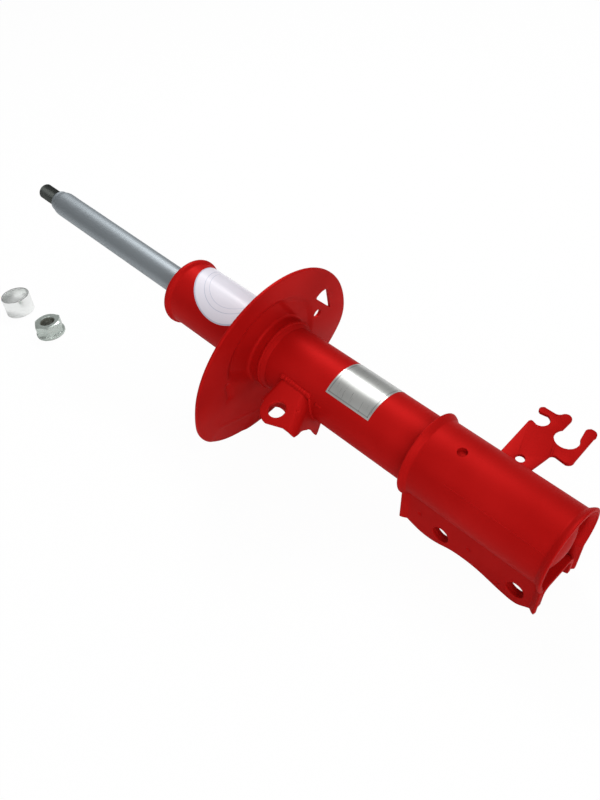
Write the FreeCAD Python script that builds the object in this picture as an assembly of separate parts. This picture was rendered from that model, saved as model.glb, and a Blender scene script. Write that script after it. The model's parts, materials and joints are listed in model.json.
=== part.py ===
"""Front suspension strut with its top nut and spacer ring, laid on a flat floor.

Every piece is modelled in the strut's own frame, in millimetres: X runs along the axis
from the tip of the piston rod to the knuckle end, Y points to the hose bracket's side and
Z points up, away from the knuckle bracket's two flanges. At the end the strut is tilted
nose down until the spring seat and both flanges touch the floor, and the whole set is
moved so that the origin lies under the middle of its bounding box, on the floor.
"""
import FreeCAD
import Part
import math
import os

from FreeCAD import Placement, Rotation, Vector

# Piston rod and its top stud
ROD_RADIUS = 11.0
STUD_RADIUS = 7.0
STUD_LENGTH = 19.5
SHOULDER_RADIUS = 9.3
SHOULDER_LENGTH = 5.0
TAPER_LENGTH = 8.0
TIP_CHAMFER = 1.2

# Damper tube
TUBE_RADIUS = 25.5
TUBE_WALL = 2.5
TUBE_TOP_X = 208.0
TUBE_LENGTH = 345.0
BEAD_RADIUS = 27.8
BEAD_LENGTH = 5.0
LIP_THICKNESS = 3.0
LIP_OPENING_RADIUS = 15.0
DOME_PROFILE = ((0.0, 25.5), (2.6, 22.0), (5.4, 16.0), (7.6, 9.0), (9.0, 0.0))
DOME_WALL = 3.0

# Damper inside
STROKE = 165.0
CYLINDER_BORE_RADIUS = 17.5
CYLINDER_WALL = 1.5
GUIDE_HEIGHT = 30.0
GUIDE_HEAD_HEIGHT = 12.0
SEAL_HEIGHT = 8.0
BUSH_WALL = 2.0
BUSH_LENGTH = 20.0
O_RING_SECTION = 1.2
BUMPER_HEIGHT = 8.5
BUMPER_RADIUS = 16.0
STOP_RING_HEIGHT = 5.0
STOP_RING_RADIUS = 15.0
PISTON_HEIGHT = 20.0
PISTON_RADIUS = 17.2
BAND_HEIGHT = 12.0
BAND_GROOVE_RADIUS = 16.2
SPIGOT_RADIUS = 6.0
SHIM_RADII = (14.0, 12.0, 9.5)
SHIM_THICKNESS = 1.0
PISTON_NUT_ACROSS_FLATS = 19.0
PISTON_NUT_HEIGHT = 9.0
SPIGOT_TAIL = 3.0
VALVE_PLATE_RADIUS = 13.0
VALVE_PLATE_THICKNESS = 2.0
VALVE_SPIGOT_LENGTH = 10.0
VALVE_FLANGE_LENGTH = 4.0
VALVE_FOOT_RADIUS = 20.0
VALVE_FOOT_DEPTH = 4.0
VALVE_BOLT_RADIUS = 3.0
VALVE_BOLT_HEAD_RADIUS = 5.5
VALVE_BOLT_HEAD_HEIGHT = 2.5
BOTTOM_CLEARANCE = 2.5
PORT_RADIUS = 1.5
PORT_CIRCLE_RADIUS = 10.5
PORT_COUNT = 8

# Spring seat
SEAT_RADIUS = 79.2
SEAT_SHEET = 2.5
SEAT_AXIS_X = 308.0
SEAT_CENTRE_Y = -3.3
SEAT_CENTRE_Z = -10.2
SEAT_BEND_Z = -13.4
SEAT_UPPER_LEAN = 4.2
SEAT_LOWER_LEAN = 14.3
SEAT_SIDE_LEAN = 1.5
SEAT_BEND_RADIUS = 140.0
PILOT_RADIUS = 46.0
PILOT_DEPTH = 3.0
NECK_LENGTH = 9.0
SUPPORT_RING_LENGTH = 5.0
SUPPORT_RING_WALL = 2.2
DRAIN_RADIUS = 3.3
DRAIN_CENTRE = (43.9, 7.8)
WINDOW_CORNERS = ((40.4, 26.1), (46.7, 29.2), (53.4, 28.6), (58.5, 4.6))
WINDOW_CORNER_RADIUS = 2.0

# Link bracket, its front face leaning about the strut's axis
LINK_SHEET = 2.8
LINK_LEAN = 15.0
LINK_FACE_OFFSET = 16.6
LINK_START_X = 339.0
LINK_HOLE_X = 355.4
LINK_HOLE_REACH = 42.0
LINK_HOLE_RADIUS = 6.5
LINK_EYE_RADIUS = 12.5
LINK_EDGE_REACH = 50.0
LINK_FOLD_X = 366.0
LINK_FOLD_REACH = 20.2
LINK_CORNER_X = 380.0
LINK_NEAR_BEND_RADIUS = 4.0
LINK_FAR_BEND_RADIUS = 7.0
LINK_WALL_EDGE = ((50.0, 3.3), (41.0, 11.0), (33.0, 24.0), (30.5, 32.0), (28.5, 43.0))
LINK_ROOT_REACH = 8.0

# Knuckle bracket
KNUCKLE_SHEET = 2.8
INNER_BRACKET_SHEET = 3.4
KNUCKLE_LENGTH = 110.5
KNUCKLE_OVERHANG = 10.5
KNUCKLE_HALF_WIDTH = 21.4
KNUCKLE_CREASE_RADIUS = 5.0
KNUCKLE_FLARE = 3.2
KNUCKLE_FLARE_LENGTH = 5.5
BOLT_HOLE_RADIUS = 6.5
BOLT_HOLES_FROM_START = (33.0, 93.0)
BOLT_HOLE_DEPTH = 40.0
FLANGE_DEPTH = 48.0
FLANGE_LOBE_DEPTH = 53.5
INNER_BRACKET_WEB_RADIUS = 5.0
SLEEVE_HOLE_FROM_START = 28.0
SLEEVE_HOLE_Y = -3.5
SLEEVE_HOLE_RADIUS = 3.5

# Hose bracket
HOSE_SHEET = 2.5
HOSE_HOLE_RADIUS = 3.3
HOSE_HOLE_CENTRE = (47.6, 38.2)
HOSE_ROOT = (34.9, 57.3)
HOSE_HOOK = (
    ((32.6, 68.6),),
    ((33.2, 70.8), (35.4, 71.4)),
    ((38.4, 70.4),),
    ((44.3, 76.4), (39.6, 82.6)),
    ((35.2, 81.7),),
    ((31.4, 84.3), (34.4, 87.7)),
    ((42.6, 87.7),),
    ((44.5, 88.5), (46.3, 90.7)),
)
HOSE_SLOT = (
    ((51.2, 92.9), (54.0, 89.8)),
    ((54.0, 79.4),),
    ((60.8, 64.8), (67.2, 79.6)),
    ((65.4, 88.8),),
    ((69.0, 92.6), (73.6, 86.6)),
    ((74.9, 60.8),),
    ((74.1, 56.6), (69.9, 55.0)),
    ((63.9, 55.6),),
    ((61.3, 54.6), (60.5, 52.2)),
)

# Loose top nut and spacer ring
NUT_ACROSS_FLATS = 24.0
NUT_HEIGHT = 14.5
NUT_COLLAR_RADIUS = 14.0
NUT_COLLAR_HEIGHT = 3.0
NUT_THREAD_RADIUS = 6.45
NUT_CHAMFER = 1.3
RING_OUTER_RADIUS = 14.2
RING_BORE_RADIUS = 12.9
RING_HEIGHT = 18.6

# Places of the loose pieces on the floor, measured from the point under the rod's tip
NUT_FROM_TIP = (15.4, -50.2)
RING_FROM_TIP = (-46.6, -48.8)

# Fits, as radial clearances
ROD_RUNNING_FIT = 0.04
BAND_RUNNING_FIT = 0.05
SPIGOT_FIT = 0.03
WELD_FIT = 0.05
STOP_GAP = 0.5

# Directions of the strut's frame
ALONG = Vector(1, 0, 0)
SIDE = Vector(0, 1, 0)
UP = Vector(0, 0, 1)
ORIGIN = Vector(0, 0, 0)

# Stations along the axis that follow from the sizes above
TUBE_END_X = TUBE_TOP_X + TUBE_LENGTH
SEAL_X = TUBE_TOP_X + LIP_THICKNESS
GUIDE_X = SEAL_X + SEAL_HEIGHT
GUIDE_END_X = GUIDE_X + GUIDE_HEIGHT
CYLINDER_X = GUIDE_X + GUIDE_HEAD_HEIGHT
BUMPER_X = GUIDE_END_X + STOP_GAP
STOP_RING_X = BUMPER_X + BUMPER_HEIGHT
VALVE_FOOT_X = TUBE_END_X - VALVE_FOOT_DEPTH
CYLINDER_END_X = VALVE_FOOT_X - VALVE_FLANGE_LENGTH
VALVE_X = CYLINDER_END_X - VALVE_SPIGOT_LENGTH
VALVE_PLATE_X = VALVE_X - VALVE_PLATE_THICKNESS
VALVE_BOLT_X = VALVE_PLATE_X - VALVE_BOLT_HEAD_HEIGHT
ROD_TAIL_X = VALVE_BOLT_X - BOTTOM_CLEARANCE - STROKE
PISTON_NUT_X = ROD_TAIL_X - SPIGOT_TAIL - PISTON_NUT_HEIGHT
SHIM_STACK = SHIM_THICKNESS * len(SHIM_RADII)
PISTON_END_X = PISTON_NUT_X - SHIM_STACK
PISTON_X = PISTON_END_X - PISTON_HEIGHT
ROD_SHOULDER_X = PISTON_X - SHIM_STACK
KNUCKLE_END_X = TUBE_END_X + KNUCKLE_OVERHANG
KNUCKLE_START_X = KNUCKLE_END_X - KNUCKLE_LENGTH
BOLT_HOLES_X = [KNUCKLE_START_X + distance for distance in BOLT_HOLES_FROM_START]
SLEEVE_HOLE_X = KNUCKLE_START_X + SLEEVE_HOLE_FROM_START
CYLINDER_OUTER_RADIUS = CYLINDER_BORE_RADIUS + CYLINDER_WALL
TUBE_BORE_RADIUS = TUBE_RADIUS - TUBE_WALL
SLEEVE_RADIUS = TUBE_RADIUS + WELD_FIT + KNUCKLE_SHEET


def cylinder(x_start, x_end, outer, inner=0.0):
    """Round bar or ring on the strut's axis."""
    solid = Part.makeCylinder(outer, x_end - x_start, Vector(x_start, 0, 0), ALONG)
    if inner > 0.0:
        margin = 1.0
        length = x_end - x_start + 2 * margin
        hole = Part.makeCylinder(inner, length, Vector(x_start - margin, 0, 0), ALONG)
        solid = solid.cut(hole)
    return solid


def turned(profile):
    """Solid of revolution about the strut's axis from (x, radius) corners."""
    corners = [Vector(x, 0, radius) for x, radius in profile]
    face = Part.Face(Part.makePolygon(corners + corners[:1]))
    return face.revolve(ORIGIN, ALONG, 360)


def hexagon(across_flats, height, base, axis):
    """Six-sided bar standing on base along axis."""
    radius = across_flats / math.sqrt(3)
    corners = []
    for corner in range(7):
        angle = math.radians(60 * corner)
        corners.append(Vector(radius * math.cos(angle), radius * math.sin(angle), 0))
    bar = Part.Face(Part.makePolygon(corners)).extrude(Vector(0, 0, height))
    bar.Placement = Placement(base, Rotation(UP, axis))
    return bar


def arc(start, middle, end):
    """Edge along the circle through three points."""
    return Part.Arc(start, middle, end).toShape()


def line(start, end):
    """Straight edge."""
    return Part.LineSegment(start, end).toShape()


def fused(solids):
    """One solid from overlapping ones, with the seams between flush faces removed."""
    return solids[0].multiFuse(solids[1:]).removeSplitter()


def tube_core(margin):
    """Space inside the tube's outer surface, over the strut's whole length."""
    return cylinder(TUBE_TOP_X, KNUCKLE_END_X + 40, TUBE_RADIUS + margin)


def make_strut_tube():
    """Outer tube with the rolled bead and the lip that closes it over the seal."""
    edge = 1.2
    profile = [
        (TUBE_TOP_X, LIP_OPENING_RADIUS),
        (TUBE_TOP_X, BEAD_RADIUS - 2 * edge),
        (TUBE_TOP_X + 0.6 * edge, BEAD_RADIUS - 0.6 * edge),
        (TUBE_TOP_X + 2 * edge, BEAD_RADIUS),
        (TUBE_TOP_X + BEAD_LENGTH, BEAD_RADIUS),
        (TUBE_TOP_X + BEAD_LENGTH + 2 * edge, TUBE_RADIUS),
        (TUBE_END_X, TUBE_RADIUS),
        (TUBE_END_X, TUBE_BORE_RADIUS),
        (SEAL_X, TUBE_BORE_RADIUS),
        (SEAL_X, LIP_OPENING_RADIUS),
    ]
    return turned(profile)


def make_base_cap():
    """Domed plate welded over the tube's lower end."""
    outside = [(TUBE_END_X + rise, radius) for rise, radius in DOME_PROFILE]
    inside = [(x - DOME_WALL, radius) for x, radius in outside[2:]]
    return turned(outside + inside[::-1] + [(TUBE_END_X, TUBE_BORE_RADIUS)])


def make_rod_wiper():
    """Rubber scraper ring in the mouth of the tube."""
    bore = ROD_RADIUS + ROD_RUNNING_FIT
    profile = [
        (TUBE_TOP_X + 0.5, bore),
        (TUBE_TOP_X, bore + 0.8),
        (TUBE_TOP_X, LIP_OPENING_RADIUS - SPIGOT_FIT),
        (SEAL_X, LIP_OPENING_RADIUS - SPIGOT_FIT),
        (SEAL_X, bore),
    ]
    return turned(profile)


def make_oil_seal():
    """Seal between the lip and the rod guide, relieved between its two sealing lips."""
    bore = ROD_RADIUS + ROD_RUNNING_FIT
    outer = TUBE_BORE_RADIUS - SPIGOT_FIT
    relief = 1.5
    profile = [
        (SEAL_X, bore),
        (SEAL_X, outer),
        (GUIDE_X, outer),
        (GUIDE_X, bore),
        (GUIDE_X - SEAL_HEIGHT / 4, bore),
        (GUIDE_X - SEAL_HEIGHT / 2, bore + relief),
        (SEAL_X + SEAL_HEIGHT / 4, bore),
    ]
    return turned(profile)


def make_rod_guide():
    """Stepped sintered guide that centres the rod, the tube and the inner cylinder."""
    head = TUBE_BORE_RADIUS - SPIGOT_FIT
    spigot = CYLINDER_BORE_RADIUS - SPIGOT_FIT
    bore = ROD_RADIUS + ROD_RUNNING_FIT + BUSH_WALL
    shoulder_x = GUIDE_X + GUIDE_HEAD_HEIGHT
    guide = fused([
        cylinder(GUIDE_X, shoulder_x, head),
        cylinder(shoulder_x - 1, GUIDE_END_X, spigot),
    ])
    groove_x = GUIDE_X + GUIDE_HEAD_HEIGHT / 2
    groove = cylinder(groove_x - O_RING_SECTION, groove_x + O_RING_SECTION, head + 1, head - 2 * O_RING_SECTION)
    return guide.cut(cylinder(GUIDE_X - 1, GUIDE_END_X + 1, bore)).cut(groove)


def make_guide_o_ring():
    """Rubber ring in the rod guide's groove."""
    middle_x = GUIDE_X + GUIDE_HEAD_HEIGHT / 2
    outer = TUBE_BORE_RADIUS - SPIGOT_FIT
    return cylinder(middle_x - O_RING_SECTION, middle_x + O_RING_SECTION, outer, outer - 2 * O_RING_SECTION)


def make_guide_bush():
    """Bearing bush in the rod guide."""
    start_x = GUIDE_X + (GUIDE_HEIGHT - BUSH_LENGTH) / 2
    bore = ROD_RADIUS + ROD_RUNNING_FIT
    return cylinder(start_x, start_x + BUSH_LENGTH, bore + BUSH_WALL, bore)


def make_inner_cylinder():
    """Honed cylinder that the piston runs in."""
    return cylinder(CYLINDER_X, CYLINDER_END_X, CYLINDER_OUTER_RADIUS, CYLINDER_BORE_RADIUS)


def ring_of_ports(x_start, x_end, phase):
    """Round passages on a circle about the axis."""
    ports = []
    for index in range(PORT_COUNT):
        angle = math.radians(phase + 360.0 * index / PORT_COUNT)
        y = PORT_CIRCLE_RADIUS * math.cos(angle)
        z = PORT_CIRCLE_RADIUS * math.sin(angle)
        ports.append(Part.makeCylinder(PORT_RADIUS, x_end - x_start, Vector(x_start, y, z), ALONG))
    return ports


def make_base_valve_body():
    """Foot valve: spigot in the cylinder, flange under it and a slotted foot on the dome."""
    spigot = CYLINDER_BORE_RADIUS - SPIGOT_FIT
    foot_end_x = TUBE_END_X
    body = fused([
        cylinder(VALVE_X, CYLINDER_END_X + 1, spigot),
        cylinder(CYLINDER_END_X, VALVE_FOOT_X, CYLINDER_OUTER_RADIUS),
        cylinder(VALVE_FOOT_X - 1, foot_end_x, VALVE_FOOT_RADIUS, VALVE_FOOT_RADIUS - 4),
    ])
    body = body.cut(cylinder(VALVE_X - 1, foot_end_x, VALVE_BOLT_RADIUS + SPIGOT_FIT))
    body = body.cut(Part.makeCompound(ring_of_ports(VALVE_X - 1, VALVE_FOOT_X + 1, 0)))
    slot_width = 6.0
    slot_length = foot_end_x - VALVE_FOOT_X
    for angle in (0, 60, 120):
        slot = Part.makeBox(slot_length, slot_width, 60, Vector(VALVE_FOOT_X, -slot_width / 2, -30))
        slot.rotate(ORIGIN, ALONG, angle)
        body = body.cut(slot)
    return body


def make_base_valve_plate():
    """Spring plate that covers the foot valve's passages."""
    return cylinder(VALVE_PLATE_X, VALVE_X, VALVE_PLATE_RADIUS, VALVE_BOLT_RADIUS + SPIGOT_FIT)


def make_base_valve_bolt():
    """Bolt and nut that clamp the foot valve's plate."""
    nut_height = 3.0
    nut = hexagon(2 * VALVE_BOLT_HEAD_RADIUS * 0.9, nut_height, Vector(VALVE_FOOT_X, 0, 0), ALONG)
    return fused([
        cylinder(VALVE_BOLT_X, VALVE_PLATE_X, VALVE_BOLT_HEAD_RADIUS),
        cylinder(VALVE_PLATE_X - 1, VALVE_FOOT_X + nut_height + 1, VALVE_BOLT_RADIUS),
        nut,
    ])


def make_piston_rod():
    """Chromed rod with its threaded top stud and the spigot that carries the piston."""
    edge = 0.8
    step_x = STUD_LENGTH + SHOULDER_LENGTH
    taper_rise = ROD_RADIUS - SHOULDER_RADIUS
    tail_chamfer = 1.0
    profile = [
        (0, 0),
        (0, STUD_RADIUS - TIP_CHAMFER),
        (TIP_CHAMFER, STUD_RADIUS),
        (STUD_LENGTH, STUD_RADIUS),
        (STUD_LENGTH, SHOULDER_RADIUS - edge),
        (STUD_LENGTH + edge, SHOULDER_RADIUS),
        (step_x, SHOULDER_RADIUS),
        (step_x + 0.4 * TAPER_LENGTH, SHOULDER_RADIUS + 0.7 * taper_rise),
        (step_x + TAPER_LENGTH, ROD_RADIUS),
        (ROD_SHOULDER_X, ROD_RADIUS),
        (ROD_SHOULDER_X, SPIGOT_RADIUS),
        (ROD_TAIL_X - tail_chamfer, SPIGOT_RADIUS),
        (ROD_TAIL_X, SPIGOT_RADIUS - tail_chamfer),
        (ROD_TAIL_X, 0),
    ]
    return turned(profile)


def make_rebound_bumper():
    """Elastic ring that meets the rod guide at full extension."""
    step = 2.0
    profile = [
        (BUMPER_X, ROD_RADIUS),
        (BUMPER_X, BUMPER_RADIUS - step),
        (BUMPER_X + step, BUMPER_RADIUS),
        (STOP_RING_X, BUMPER_RADIUS),
        (STOP_RING_X, ROD_RADIUS),
    ]
    return turned(profile)


def make_rebound_stop_ring():
    """Steel ring swaged on the rod behind the bumper."""
    return cylinder(STOP_RING_X, STOP_RING_X + STOP_RING_HEIGHT, STOP_RING_RADIUS, ROD_RADIUS)


def make_piston():
    """Piston with its passages and the groove that holds the band."""
    piston = cylinder(PISTON_X, PISTON_END_X, PISTON_RADIUS, SPIGOT_RADIUS)
    groove_x = PISTON_X + (PISTON_HEIGHT - BAND_HEIGHT) / 2
    groove = cylinder(groove_x, groove_x + BAND_HEIGHT, PISTON_RADIUS + 1, BAND_GROOVE_RADIUS)
    ports = ring_of_ports(PISTON_X - 1, PISTON_END_X + 1, 180.0 / PORT_COUNT)
    return piston.cut(groove).cut(Part.makeCompound(ports))


def make_piston_band():
    """Low-friction band that slides in the cylinder and lets the piston turn."""
    side_play = 0.2
    start_x = PISTON_X + (PISTON_HEIGHT - BAND_HEIGHT) / 2 + side_play
    end_x = start_x + BAND_HEIGHT - 2 * side_play
    outer = CYLINDER_BORE_RADIUS - BAND_RUNNING_FIT
    inner = BAND_GROOVE_RADIUS + BAND_RUNNING_FIT
    return cylinder(start_x, end_x, outer, inner)


def make_shims(face_x, outward):
    """Stack of valve discs on one face of the piston, the widest against it."""
    shims = []
    for index, radius in enumerate(SHIM_RADII):
        near = face_x + outward * index * SHIM_THICKNESS
        far = near + outward * SHIM_THICKNESS
        shims.append(cylinder(min(near, far), max(near, far), radius, SPIGOT_RADIUS))
    return fused(shims)


def make_piston_nut():
    """Nut that clamps the piston and its valve discs on the rod."""
    nut = hexagon(PISTON_NUT_ACROSS_FLATS, PISTON_NUT_HEIGHT, Vector(PISTON_NUT_X, 0, 0), ALONG)
    bore = cylinder(PISTON_NUT_X - 1, PISTON_NUT_X + PISTON_NUT_HEIGHT + 1, SPIGOT_RADIUS)
    return nut.cut(bore)


def seat_strip(offset, thickness, half_width):
    """Bent strip of sheet that the spring seat is cut from.

    Its side view is two straight legs joined by a wide arc: the upper leg leans a little
    towards the rod, the lower leg leans more.
    """
    upper = math.radians(SEAT_UPPER_LEAN)
    lower = math.radians(SEAT_LOWER_LEAN)
    reach = 120.0
    half_turn = (lower - upper) / 2
    tangent = SEAT_BEND_RADIUS * math.tan(half_turn)
    corner = Vector(SEAT_AXIS_X + offset, 0, SEAT_BEND_Z)
    up_leg = Vector(math.sin(upper), 0, math.cos(upper))
    down_leg = Vector(-math.sin(lower), 0, -math.cos(lower))
    top = corner + up_leg * reach
    bend_start = corner + up_leg * tangent
    bend_end = corner + down_leg * tangent
    bottom = corner + down_leg * reach
    inward = (up_leg + down_leg).normalize()
    bend_middle = corner + inward * (SEAT_BEND_RADIUS * (1 / math.cos(half_turn) - 1))
    path = Part.Wire([
        line(top, bend_start),
        arc(bend_start, bend_middle, bend_end),
        line(bend_end, bottom),
    ])
    sheet = path.extrude(Vector(0, 2 * half_width, 0))
    sheet.translate(Vector(0, -half_width, 0))
    return sheet.extrude(Vector(thickness, 0, 0))


def lean_sideways(shape):
    """Turn a seat piece about the vertical through the strut's axis."""
    leaned = shape.copy()
    leaned.rotate(Vector(SEAT_AXIS_X, 0, 0), UP, SEAT_SIDE_LEAN)
    return leaned


def rounded_prism(corners, radius, start_x, length):
    """Bar along the axis with a rounded polygon section given by (y, z) corners."""
    points = [Vector(start_x, y, z) for y, z in corners]
    prism = Part.Face(Part.makePolygon(points + points[:1])).extrude(ALONG * length)
    upright = [e for e in prism.Edges if abs(e.tangentAt(e.FirstParameter).dot(ALONG)) > 0.99]
    return prism.makeFillet(radius, upright)


def make_spring_seat():
    """Round bent seat with a spring pilot pressed in it and a neck on the tube."""
    centre = Vector(SEAT_AXIS_X - 60, SEAT_CENTRE_Y, SEAT_CENTRE_Z)
    outline = Part.makeCylinder(SEAT_RADIUS, 120, centre, ALONG)
    plate = seat_strip(-SEAT_SHEET / 2, SEAT_SHEET, 100).common(outline)
    pocket = Part.makeCylinder(PILOT_RADIUS - SEAT_SHEET, 80, Vector(SEAT_AXIS_X - 40, 0, 0), ALONG)
    pilot = Part.makeCylinder(PILOT_RADIUS, 80, Vector(SEAT_AXIS_X - 40, 0, 0), ALONG)
    floor = seat_strip(-SEAT_SHEET / 2 - PILOT_DEPTH, SEAT_SHEET, 100).common(pilot)
    wall = seat_strip(-SEAT_SHEET / 2 - PILOT_DEPTH, SEAT_SHEET + PILOT_DEPTH, 100).common(pilot).cut(pocket)
    neck_start = SEAT_AXIS_X - PILOT_DEPTH
    neck = cylinder(neck_start, neck_start + PILOT_DEPTH + NECK_LENGTH, TUBE_RADIUS + SEAT_SHEET)
    seat = fused([plate.cut(pilot), wall, floor, neck])
    seat = lean_sideways(seat)
    start_x = SEAT_AXIS_X - 40
    window = rounded_prism(WINDOW_CORNERS, WINDOW_CORNER_RADIUS, start_x, 80)
    drain = Part.makeCylinder(DRAIN_RADIUS, 80, Vector(start_x, *DRAIN_CENTRE), ALONG)
    return seat.cut(tube_core(WELD_FIT)).cut(window).cut(drain)


def make_seat_support_ring():
    """Ring tacked to the tube behind the seat's neck."""
    lean_gap = 0.8
    start_x = SEAT_AXIS_X + NECK_LENGTH + lean_gap
    bore = TUBE_RADIUS + WELD_FIT
    return cylinder(start_x, start_x + SUPPORT_RING_LENGTH, bore + SUPPORT_RING_WALL, bore)


def link_point(x, reach, depth=0.0):
    """Point of the link bracket: reach away from the axis along its face, depth behind the face."""
    lean = math.radians(LINK_LEAN)
    along_face = Vector(0, -math.cos(lean), -math.sin(lean))
    behind = Vector(0, math.sin(lean), -math.cos(lean))
    return Vector(x, 0, 0) + along_face * reach + behind * (depth - LINK_FACE_OFFSET)


def link_section(reach):
    """Closed outline of the link bracket's bent sheet at a reach: near wall, face and far wall."""
    slope = (LINK_CORNER_X - LINK_FOLD_X) / (LINK_EDGE_REACH - LINK_FOLD_REACH)
    far_x = LINK_FOLD_X + slope * (reach - LINK_FOLD_REACH)
    deep = LINK_WALL_EDGE[-1][1] + 2

    def skin(inset):
        """Points along one side of the sheet, inset from its outer side."""
        near_bend = LINK_NEAR_BEND_RADIUS
        far_bend = LINK_FAR_BEND_RADIUS
        near_middle = near_bend - (near_bend - inset) * math.sqrt(0.5)
        far_middle = far_bend - (far_bend - inset) * math.sqrt(0.5)
        return [
            link_point(LINK_START_X + inset, reach, deep),
            link_point(LINK_START_X + inset, reach, near_bend),
            link_point(LINK_START_X + near_middle, reach, near_middle),
            link_point(LINK_START_X + near_bend, reach, inset),
            link_point(far_x - far_bend, reach, inset),
            link_point(far_x - far_middle, reach, far_middle),
            link_point(far_x - inset, reach, far_bend),
            link_point(far_x - inset, reach, deep),
        ]

    def bent(points):
        """Edges along one side of the sheet."""
        return [
            line(points[0], points[1]),
            arc(points[1], points[2], points[3]),
            line(points[3], points[4]),
            arc(points[4], points[5], points[6]),
            line(points[6], points[7]),
        ]

    outer = skin(0.0)
    inner = skin(LINK_SHEET)[::-1]
    edges = bent(outer) + [line(outer[-1], inner[0])] + bent(inner) + [line(inner[-1], outer[0])]
    return Part.Wire(edges)


def link_front(behind):
    """Space behind the link bracket's front outline, rounded about the eye."""
    turn = math.radians(45)
    margin = 10.0
    near = LINK_START_X - margin
    far = LINK_CORNER_X + margin
    root = LINK_ROOT_REACH - 1
    eye_left = link_point(LINK_HOLE_X - LINK_EYE_RADIUS, LINK_HOLE_REACH, -1)
    eye_bottom = link_point(LINK_HOLE_X, LINK_HOLE_REACH + LINK_EYE_RADIUS, -1)
    eye_middle = link_point(
        LINK_HOLE_X - LINK_EYE_RADIUS * math.sin(turn),
        LINK_HOLE_REACH + LINK_EYE_RADIUS * math.cos(turn),
        -1,
    )
    lower_edge = link_point(LINK_HOLE_X + LINK_EYE_RADIUS, LINK_EDGE_REACH, -1)
    edges = [
        line(link_point(near, root, -1), link_point(near, LINK_HOLE_REACH, -1)),
        line(link_point(near, LINK_HOLE_REACH, -1), eye_left),
        arc(eye_left, eye_middle, eye_bottom),
        line(eye_bottom, lower_edge),
        line(lower_edge, link_point(far, LINK_EDGE_REACH, -1)),
        line(link_point(far, LINK_EDGE_REACH, -1), link_point(far, root, -1)),
        line(link_point(far, root, -1), link_point(near, root, -1)),
    ]
    return Part.Face(Part.Wire(edges)).extrude(behind * 60)


def make_link_bracket():
    """Bent bracket for the stabiliser link: eye face and two walls welded to the tube."""
    tip = LINK_HOLE_REACH + LINK_EYE_RADIUS + 1
    root = LINK_ROOT_REACH
    sheet = Part.makeLoft([link_section(root), link_section(tip)], True, True)
    behind = link_point(0, 0, 1) - link_point(0, 0, 0)
    side_view = [(root - 1, -1), (tip + 1, -1), (tip + 1, LINK_WALL_EDGE[0][1])]
    side_view += LINK_WALL_EDGE
    side_view.append((root - 1, LINK_WALL_EDGE[-1][1]))
    corners = [link_point(LINK_START_X - 10, reach, depth) for reach, depth in side_view]
    side = Part.Face(Part.makePolygon(corners + corners[:1])).extrude(ALONG * 80)
    hole_start = link_point(LINK_HOLE_X, LINK_HOLE_REACH, -LINK_SHEET)
    hole = Part.makeCylinder(LINK_HOLE_RADIUS, 3 * LINK_SHEET, hole_start, behind)
    return sheet.common(side).common(link_front(behind)).cut(hole).cut(tube_core(WELD_FIT))


def omega_wire(x, flare):
    """Closed outline of the knuckle bracket's sheet at a station, pushed outward by flare."""
    outer = SLEEVE_RADIUS + flare
    inner = outer - KNUCKLE_SHEET
    side = KNUCKLE_HALF_WIDTH + flare
    side_inner = side - KNUCKLE_SHEET
    centre_y = KNUCKLE_HALF_WIDTH + KNUCKLE_CREASE_RADIUS
    reach = SLEEVE_RADIUS + KNUCKLE_CREASE_RADIUS
    centre_z = -math.sqrt(reach ** 2 - centre_y ** 2)
    crease = KNUCKLE_CREASE_RADIUS - flare
    crease_inner = crease + KNUCKLE_SHEET
    bottom = -FLANGE_LOBE_DEPTH - 10
    to_axis = Vector(0, -centre_y, -centre_z).normalize()
    middle_way = (to_axis + Vector(0, -1, 0)).normalize()
    centre = Vector(x, centre_y, centre_z)

    def mirrored(point):
        """The same point on the other flange."""
        return Vector(point.x, -point.y, point.z)

    outer_foot = Vector(x, side, bottom)
    outer_bend = Vector(x, side, centre_z)
    outer_mid = centre + middle_way * crease
    outer_join = centre + to_axis * crease
    inner_foot = Vector(x, side_inner, bottom)
    inner_bend = Vector(x, side_inner, centre_z)
    inner_mid = centre + middle_way * crease_inner
    inner_join = centre + to_axis * crease_inner
    edges = [
        line(outer_foot, outer_bend),
        arc(outer_bend, outer_mid, outer_join),
        arc(outer_join, Vector(x, 0, outer), mirrored(outer_join)),
        arc(mirrored(outer_join), mirrored(outer_mid), mirrored(outer_bend)),
        line(mirrored(outer_bend), mirrored(outer_foot)),
        line(mirrored(outer_foot), mirrored(inner_foot)),
        line(mirrored(inner_foot), mirrored(inner_bend)),
        arc(mirrored(inner_bend), mirrored(inner_mid), mirrored(inner_join)),
        arc(mirrored(inner_join), Vector(x, 0, inner), inner_join),
        arc(inner_join, inner_mid, inner_bend),
        line(inner_bend, inner_foot),
        line(inner_foot, outer_foot),
    ]
    return Part.Wire(edges)


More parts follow.
